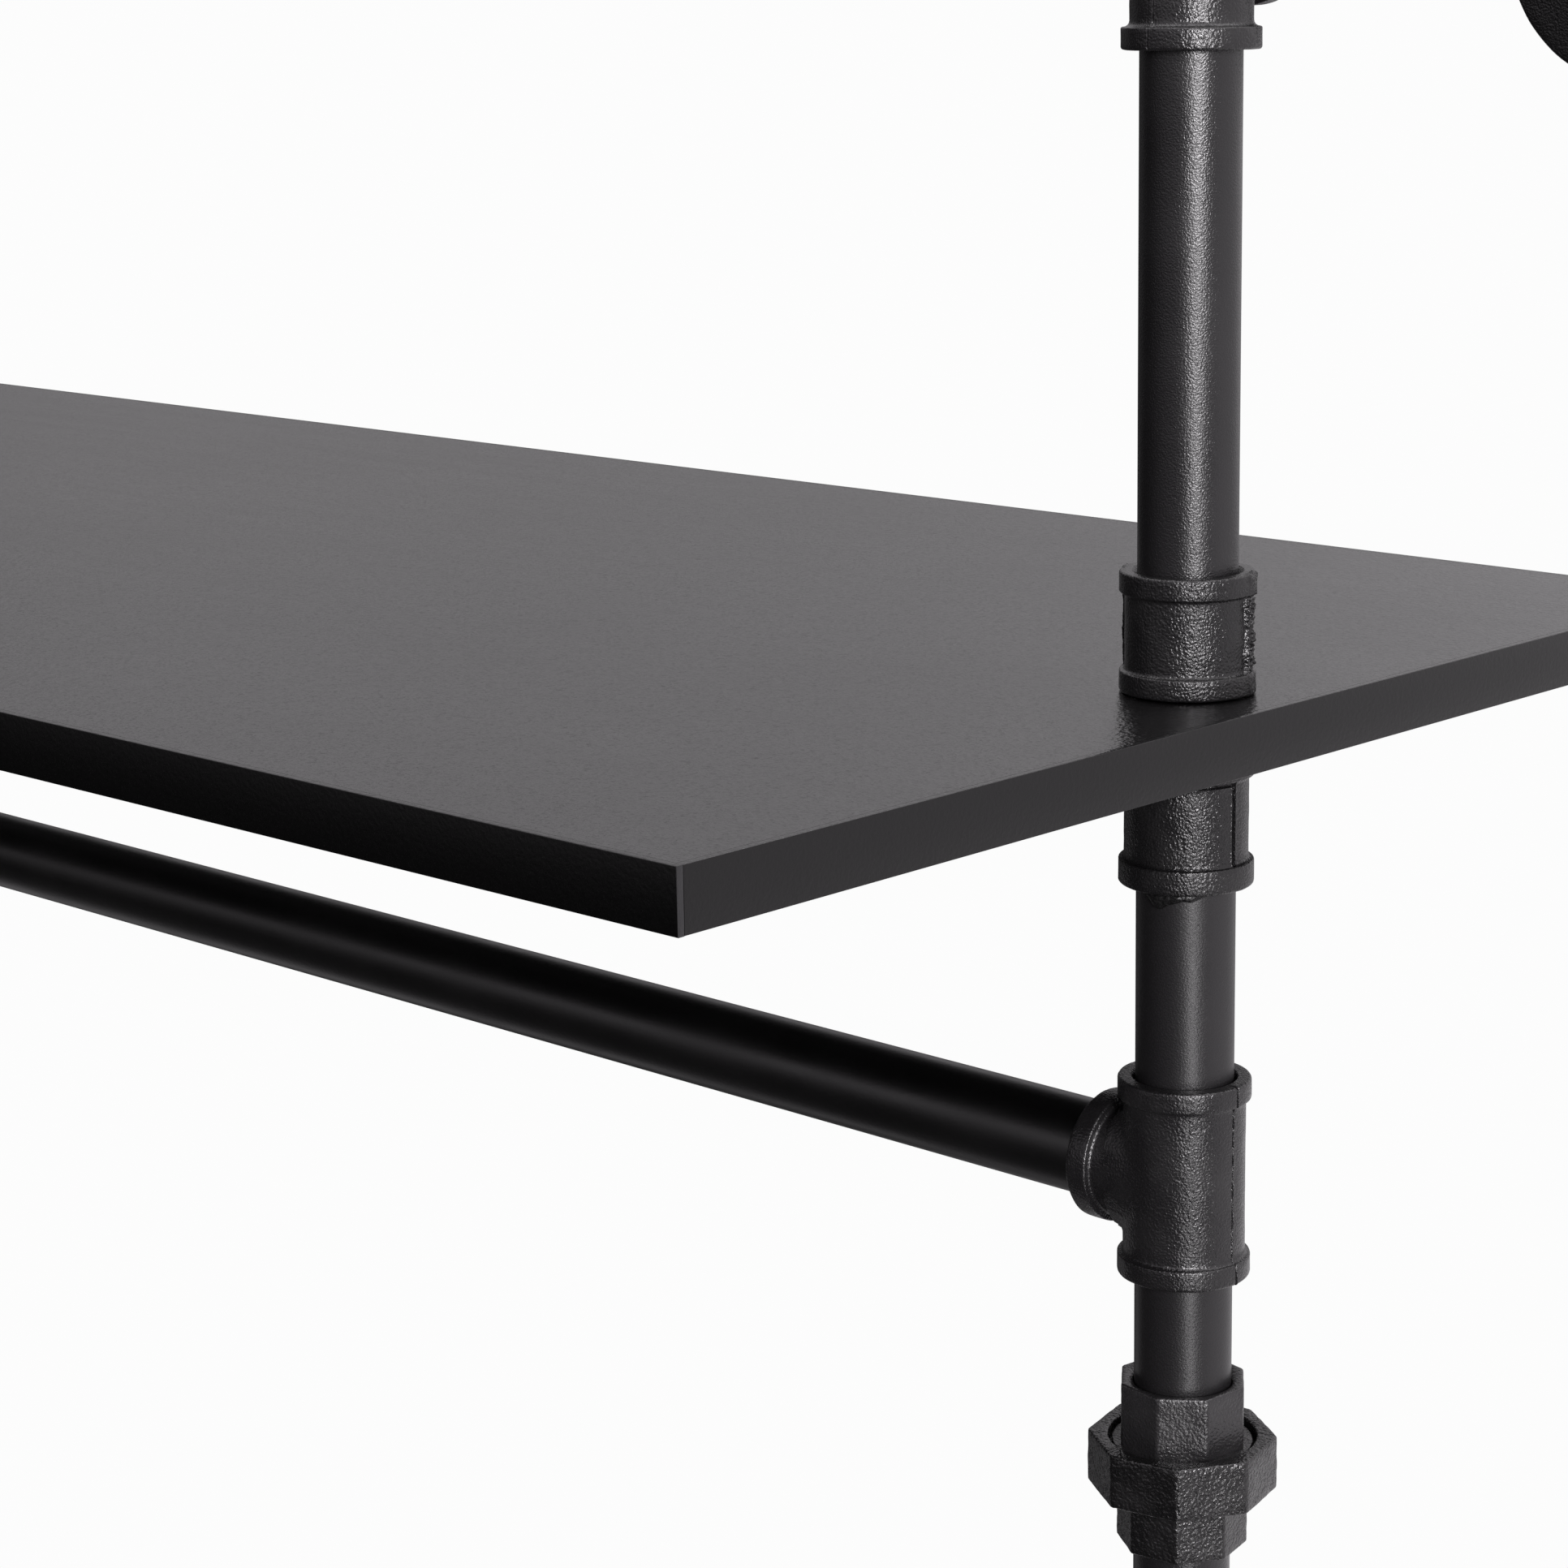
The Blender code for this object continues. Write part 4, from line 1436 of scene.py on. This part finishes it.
@dataclass
class Shelf:
    """The laminated board with its edge bands."""

    board: str = "shelf_board"
    ease: float = 0.0002
    ease_steps: int = 3
    sharp: float = 50.0
    facing: float = 0.9
    bands: dict[str, Axis] = field(default_factory=lambda: {
        "front_edge_band": Axis.X, "back_edge_band": Axis.X,
        "left_edge_band": Axis.Y, "right_edge_band": Axis.Y})

    def band(self, node: str, axis: Axis) -> None:
        """Build an edge band with eased edges and sawn ends, in place of its CAD node.

        Args:
            node: The CAD node.
            axis: The direction in which it runs.
        """
        low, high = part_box(node)
        middle = (low + high) / 2
        outward = Vector((0.0, middle.y, 0.0)) if axis is Axis.X else Vector((middle.x, 0.0, 0.0))
        shape = bmesh.new()
        bmesh.ops.create_cube(shape, size=1.0, matrix=Matrix.Diagonal((*(high - low), 1.0)))
        edges = [edge for edge in shape.edges if all(vert.co.dot(outward) > 0.0 for vert in edge.verts)]
        bmesh.ops.bevel(shape, geom=edges, offset=self.ease, segments=self.ease_steps, profile=0.5,
                        affect="EDGES")
        along = Vector((1.0, 0.0, 0.0)) if axis is Axis.X else Vector((0.0, 1.0, 0.0))
        shape.normal_update()
        for face in shape.faces:
            sawn = abs(face.normal.dot(along)) > self.facing
            face.material_index = 1 if sawn else 2 if face.normal.z > self.facing else 0
        mesh = to_mesh(shape, f"{node}_strip", self.sharp)
        add_piece(f"{node}_strip", mesh, Matrix.Translation(middle), MAIN_BODY, [node],
                  [BAND_FACE, BAND_CUT, SHELF_LAMINATE])

    def fit(self) -> None:
        """Dress the board and set its bands."""
        item = frame["nodes"][self.board]
        item.data.materials.clear()
        item.data.materials.append(SHELF_LAMINATE.material())
        LOG.info("%s: CAD board with %s", self.board, SHELF_LAMINATE.name)
        for node, axis in self.bands.items():
            self.band(node, axis)


@dataclass(frozen=True)
class Lamp:
    """A soft box that stands round the right post and faces it."""

    name: str
    bearing: float
    distance: float
    height: float
    width: float
    tall: float
    power: float
    flagged: bool = True

    def hang(self, target: Vector, spared: bpy.types.Collection) -> None:
        """Set the lamp up.

        Args:
            target: The point that it faces.
            spared: The pieces that a flagged lamp doesn't light.
        """
        angle = math.radians(self.bearing)
        light = bpy.data.lights.new(self.name, "AREA")
        light.shape = "RECTANGLE"
        light.size = self.width
        light.size_y = self.tall
        light.energy = self.power
        item = bpy.data.objects.new(self.name, light)
        bpy.context.scene.collection.objects.link(item)
        across, along = self.distance * math.sin(angle), self.distance * math.cos(angle)
        item.location = (target.x + across, target.y - along, self.height)
        item.rotation_euler = (target - item.location).to_track_quat("-Z", "Y").to_euler()
        if self.flagged:
            item.light_linking.receiver_collection = spared


@dataclass(frozen=True)
class Viewpoint:
    """The photograph's camera, as the edges of post, shelf and rod give it."""

    heading: float = 42.8291
    tilt: float = 10.8213
    roll: float = 0.6196
    focal_pixels: float = 4418.4
    image_pixels: int = 1932
    centre: Point = (1060.0, 800.0)
    sensor: float = 36.0
    offset: tuple[float, float, float] = (0.56918, -0.74115, 0.18997)

    def set_up(self, mark: Vector) -> None:
        """Set the camera up.

        Args:
            mark: The point from which the offset is counted: the right post's axis at the shelf's top.
        """
        heading, tilt, roll = (math.radians(angle) for angle in (self.heading, self.tilt, self.roll))
        flat = math.cos(tilt)
        ahead = Vector((-math.sin(heading) * flat, math.cos(heading) * flat, -math.sin(tilt)))
        level = Vector((math.cos(heading), math.sin(heading), 0.0))
        down = ahead.cross(level)
        right = math.cos(roll) * level + math.sin(roll) * down
        up = math.sin(roll) * level - math.cos(roll) * down
        data = bpy.data.cameras.new("photograph")
        data.sensor_width = self.sensor
        data.lens = self.focal_pixels / self.image_pixels * self.sensor
        data.shift_x = 0.5 - self.centre[0] / self.image_pixels
        data.shift_y = self.centre[1] / self.image_pixels - 0.5
        camera = bpy.data.objects.new("photograph", data)
        bpy.context.scene.collection.objects.link(camera)
        turned = Matrix((right, up, -ahead)).transposed().to_4x4()
        camera.matrix_world = Matrix.Translation(mark + Vector(self.offset)) @ turned
        bpy.context.scene.camera = camera


@dataclass
class Studio:
    """A white room: a bright right side and back, a dim front and left, a pale floor and soft boxes."""

    floor_radius: float = 5.0
    floor_steps: int = 96
    floor_drop: float = 0.0005
    floor_colour: Colour = (0.86, 0.86, 0.86)
    floor_roughness: float = 0.9
    floor_fade: Point = (1.2, 2.2)
    floor_glow: float = 0.6
    eye_height: float = 0.4
    white: Colour = (0.975, 0.975, 0.975)
    ambient: Colour = (0.40, 0.40, 0.40)
    black: Colour = (0.0, 0.0, 0.0)
    room_tint: Colour = (1.0, 0.97, 1.0)
    dim: float = 0.04
    front_left: float = 0.07
    near_window: float = 1.0
    far_window: float = 0.06
    ground_left: float = 0.37
    low_left: float = 0.13
    back_left: float = 0.03
    far_left: float = 0.10
    high_left: float = 0.40
    top_left: float = 0.605
    high_right: float = 1.00
    low_back: float = 0.65
    dim_span: Point = (-0.80, -0.35)
    window_span: Point = (-0.95, -0.60)
    window_heights: Point = (-0.30, 0.40)
    back_span: Point = (-0.30, 0.25)
    top_heights: Point = (0.08, 0.28)
    far_left_span: Point = (-0.96, -0.80)
    ground_span: Point = (0.25, 0.55)
    left_heights: Point = (0.00, 0.10)
    low_back_span: Point = (0.60, 0.90)
    right_heights: Point = (-0.12, 0.02)
    side_span: Point = (-0.75, -0.10)
    lamps: tuple[Lamp, ...] = (
        Lamp("key_strip", 54.0, 2.4, 2.30, 0.60, 0.80, 90.0),
        Lamp("middle_strip", 55.0, 2.4, 0.85, 0.60, 0.70, 15.0),
        Lamp("low_strip", 56.0, 2.4, 0.20, 0.60, 0.60, 3.0),
        Lamp("overhead", 180.0, 0.3, 4.2, 3.0, 3.0, 80.0, flagged=False),
    )
    spared: tuple[str, ...] = ("shelf_board", "edge_band", "hanging_rod", "wall_flange")

    @staticmethod
    def rise(value: Wire, span: Point, low: Plug, high: Plug) -> Wire:
        """Let a level rise smoothly from low to high while a value crosses a span."""
        share = value.graph.node("ShaderNodeMapRange", {"interpolation_type": "SMOOTHSTEP"},
                                 {"Value": value, "From Min": span[0], "From Max": span[1]})
        return low + share * (high - low)

    def mirrored(self, graph: Graph, way: Wire, floor: bool) -> Wire:
        """Give how bright the room is in reflections.

        Args:
            graph: The graph of the world or the floor.
            way: The direction in which a reflection looks.
            floor: Whether it looks at the floor, which is paler at the left and back and mirrors no window.

        Returns:
            The level, dim in front and to the left.
        """
        x = graph.node("ShaderNodeSeparateXYZ", {}, {0: way}, "X")
        y, z = x.other("Y"), x.other("Z")
        front = self.rise(x, self.dim_span, self.front_left, self.dim)
        if not floor:
            window = self.rise(x, self.window_span, self.far_window, self.near_window)
            front = self.rise(z, self.window_heights, front, window)
        back = self.rise(y, self.back_span, front, 1.0)
        high = self.rise(z, self.top_heights, self.high_left, self.top_left)
        high = self.rise(x, self.far_left_span, self.far_left, high)
        low = self.rise(y, self.ground_span, self.ground_left if floor else self.low_left, self.back_left)
        left = self.rise(z, self.left_heights, low, high)
        low = 1.0 if floor else self.rise(y, self.low_back_span, 1.0, self.low_back)
        right = self.rise(z, self.right_heights, low, self.high_right)
        return back * self.rise(x, self.side_span, left, right)

    def light_world(self) -> None:
        """Make the world: white to the camera, and the room's own levels in reflections."""
        world = bpy.data.worlds.new("white_room")
        world.use_nodes = True
        bpy.context.scene.world = world
        graph = Graph(world.node_tree)
        shown, glossy = graph.rays()
        room = self.mirrored(graph, graph.node("ShaderNodeTexCoord", output="Generated"), False)
        mirrored = graph.mix(room, self.black, self.room_tint)
        lit = graph.mix(glossy, self.ambient, mirrored)
        level = graph.mix(shown, lit, self.white)
        graph.plug(world.node_tree.nodes["Background"].inputs["Color"], level)

    def lay_floor(self) -> None:
        """Lay the pale floor, which keeps the closet's shadow and fades into the white round it."""
        shape = bmesh.new()
        bmesh.ops.create_circle(shape, cap_ends=True, segments=self.floor_steps, radius=self.floor_radius)
        floor = bpy.data.objects.new("pale_floor", to_mesh(shape, "pale_floor"))
        bpy.context.scene.collection.objects.link(floor)
        floor.location.z = CAD_BOX[0].z - self.floor_drop
        material = bpy.data.materials.new("pale_floor")
        material.use_nodes = True
        graph = Graph(material.node_tree)
        shader = material.node_tree.nodes["Principled BSDF"]
        shader.inputs["Base Color"].default_value = (*self.floor_colour, 1.0)
        shader.inputs["Roughness"].default_value = self.floor_roughness
        shader.inputs["Specular IOR Level"].default_value = 0.0
        dark = graph.node("ShaderNodeEmission", {}, {"Color": self.black, "Strength": 0.0})
        place = graph.place()
        shown, glossy = graph.rays()
        far = graph.node("ShaderNodeVectorMath", {"operation": "LENGTH"}, {0: place}, "Value")
        sunk = (0.0, 0.0, -self.eye_height)
        way = graph.node("ShaderNodeVectorMath", {"operation": "ADD"}, {0: place, 1: sunk})
        way = graph.node("ShaderNodeVectorMath", {"operation": "NORMALIZE"}, {0: way})
        level = self.mirrored(graph, way, True)
        lit = Wire(graph, shader.outputs["BSDF"])
        colour = graph.mix(glossy, self.white, self.room_tint)
        glow = graph.node("ShaderNodeEmission", {}, {"Color": colour, "Strength": 1.0})
        share = shown * self.rise(far, self.floor_fade, self.floor_glow, 1.0) + glossy
        white = graph.node("ShaderNodeMixShader", {}, {0: share, 1: lit, 2: glow})
        dimmed = glossy * (1.0 - level)
        surface = graph.node("ShaderNodeMixShader", {}, {0: dimmed, 1: white, 2: dark})
        graph.plug(material.node_tree.nodes["Material Output"].inputs["Surface"], surface)
        floor.data.materials.append(material)

    def flags(self, pieces: Iterable[bpy.types.Object]) -> bpy.types.Collection:
        """Gather the pieces that flags keep the glare of the strips from.

        Args:
            pieces: The pieces of the closet.

        Returns:
            The collection of those that a flagged lamp leaves out.
        """
        flagged = bpy.data.collections.new("flagged_pieces")
        for piece in list(pieces):
            if any(word in piece.name for word in self.spared):
                flagged.objects.link(piece)
        for entry in flagged.collection_objects:
            entry.light_linking.link_state = "EXCLUDE"
        return flagged

    def build(self) -> None:
        """Set up world, floor, lamps and camera."""
        bpy.context.scene.view_settings.view_transform = "Standard"
        flagged = self.flags(bpy.context.scene.objects)
        self.light_world()
        self.lay_floor()
        mark = Side.RIGHT.at(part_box("shelf_board")[1].z).to_translation()
        for lamp in self.lamps:
            lamp.hang(mark, flagged)
        Viewpoint().set_up(mark)
        LOG.info("studio: %d lamps", len(self.lamps))


def couplings() -> list[Coupling]:
    """Describe the two couplings of a post.

    Returns:
        The one on the shelf, with flash left along both sides, and the one under it, with a raised pad.
    """
    radius = Coupling.body_radius
    near, far = math.radians(19), math.radians(200)
    flash = [FlashStrip(near, 0.0026, 0.0014, radius, 0.55),
             FlashStrip(far, 0.0016, 0.0013, radius, 0.10, 0.0001, seed=12.0)]
    flash_steps = [math.radians(0.9 * step) for step in range(-15, 16)]
    upper = Coupling("upper_coupling", [Waviness(0.00010, 0.004, 1.0), *flash], [near, far], flash_steps)
    edge = math.radians(-6.4)
    pad = RaisedPad(math.radians(-90), edge, 0.0286, radius)
    lower = Coupling("lower_coupling", [Waviness(0.00009, 0.004, 3.0), pad], [edge], seam_steps(),
                     foot=Mouth(bead_width=0.0068))
    return [upper, lower]


def main() -> None:
    """Build the pieces in order, from the floor up, and then the studio."""
    logging.basicConfig(level=logging.INFO, format="%(name)s: %(message)s")
    PipeWork().fit()
    fittings = [Flange("floor_flange", False), UnionSocket(), UnionNut(), UnionTail(), Tee(), *couplings(),
                Elbow(), Flange("wall_flange", True)]
    for fitting in fittings:
        fitting.fit()
    SealantBead().fit()
    Shelf().fit()
    Studio().build()


if __name__ == "__main__":
    main()
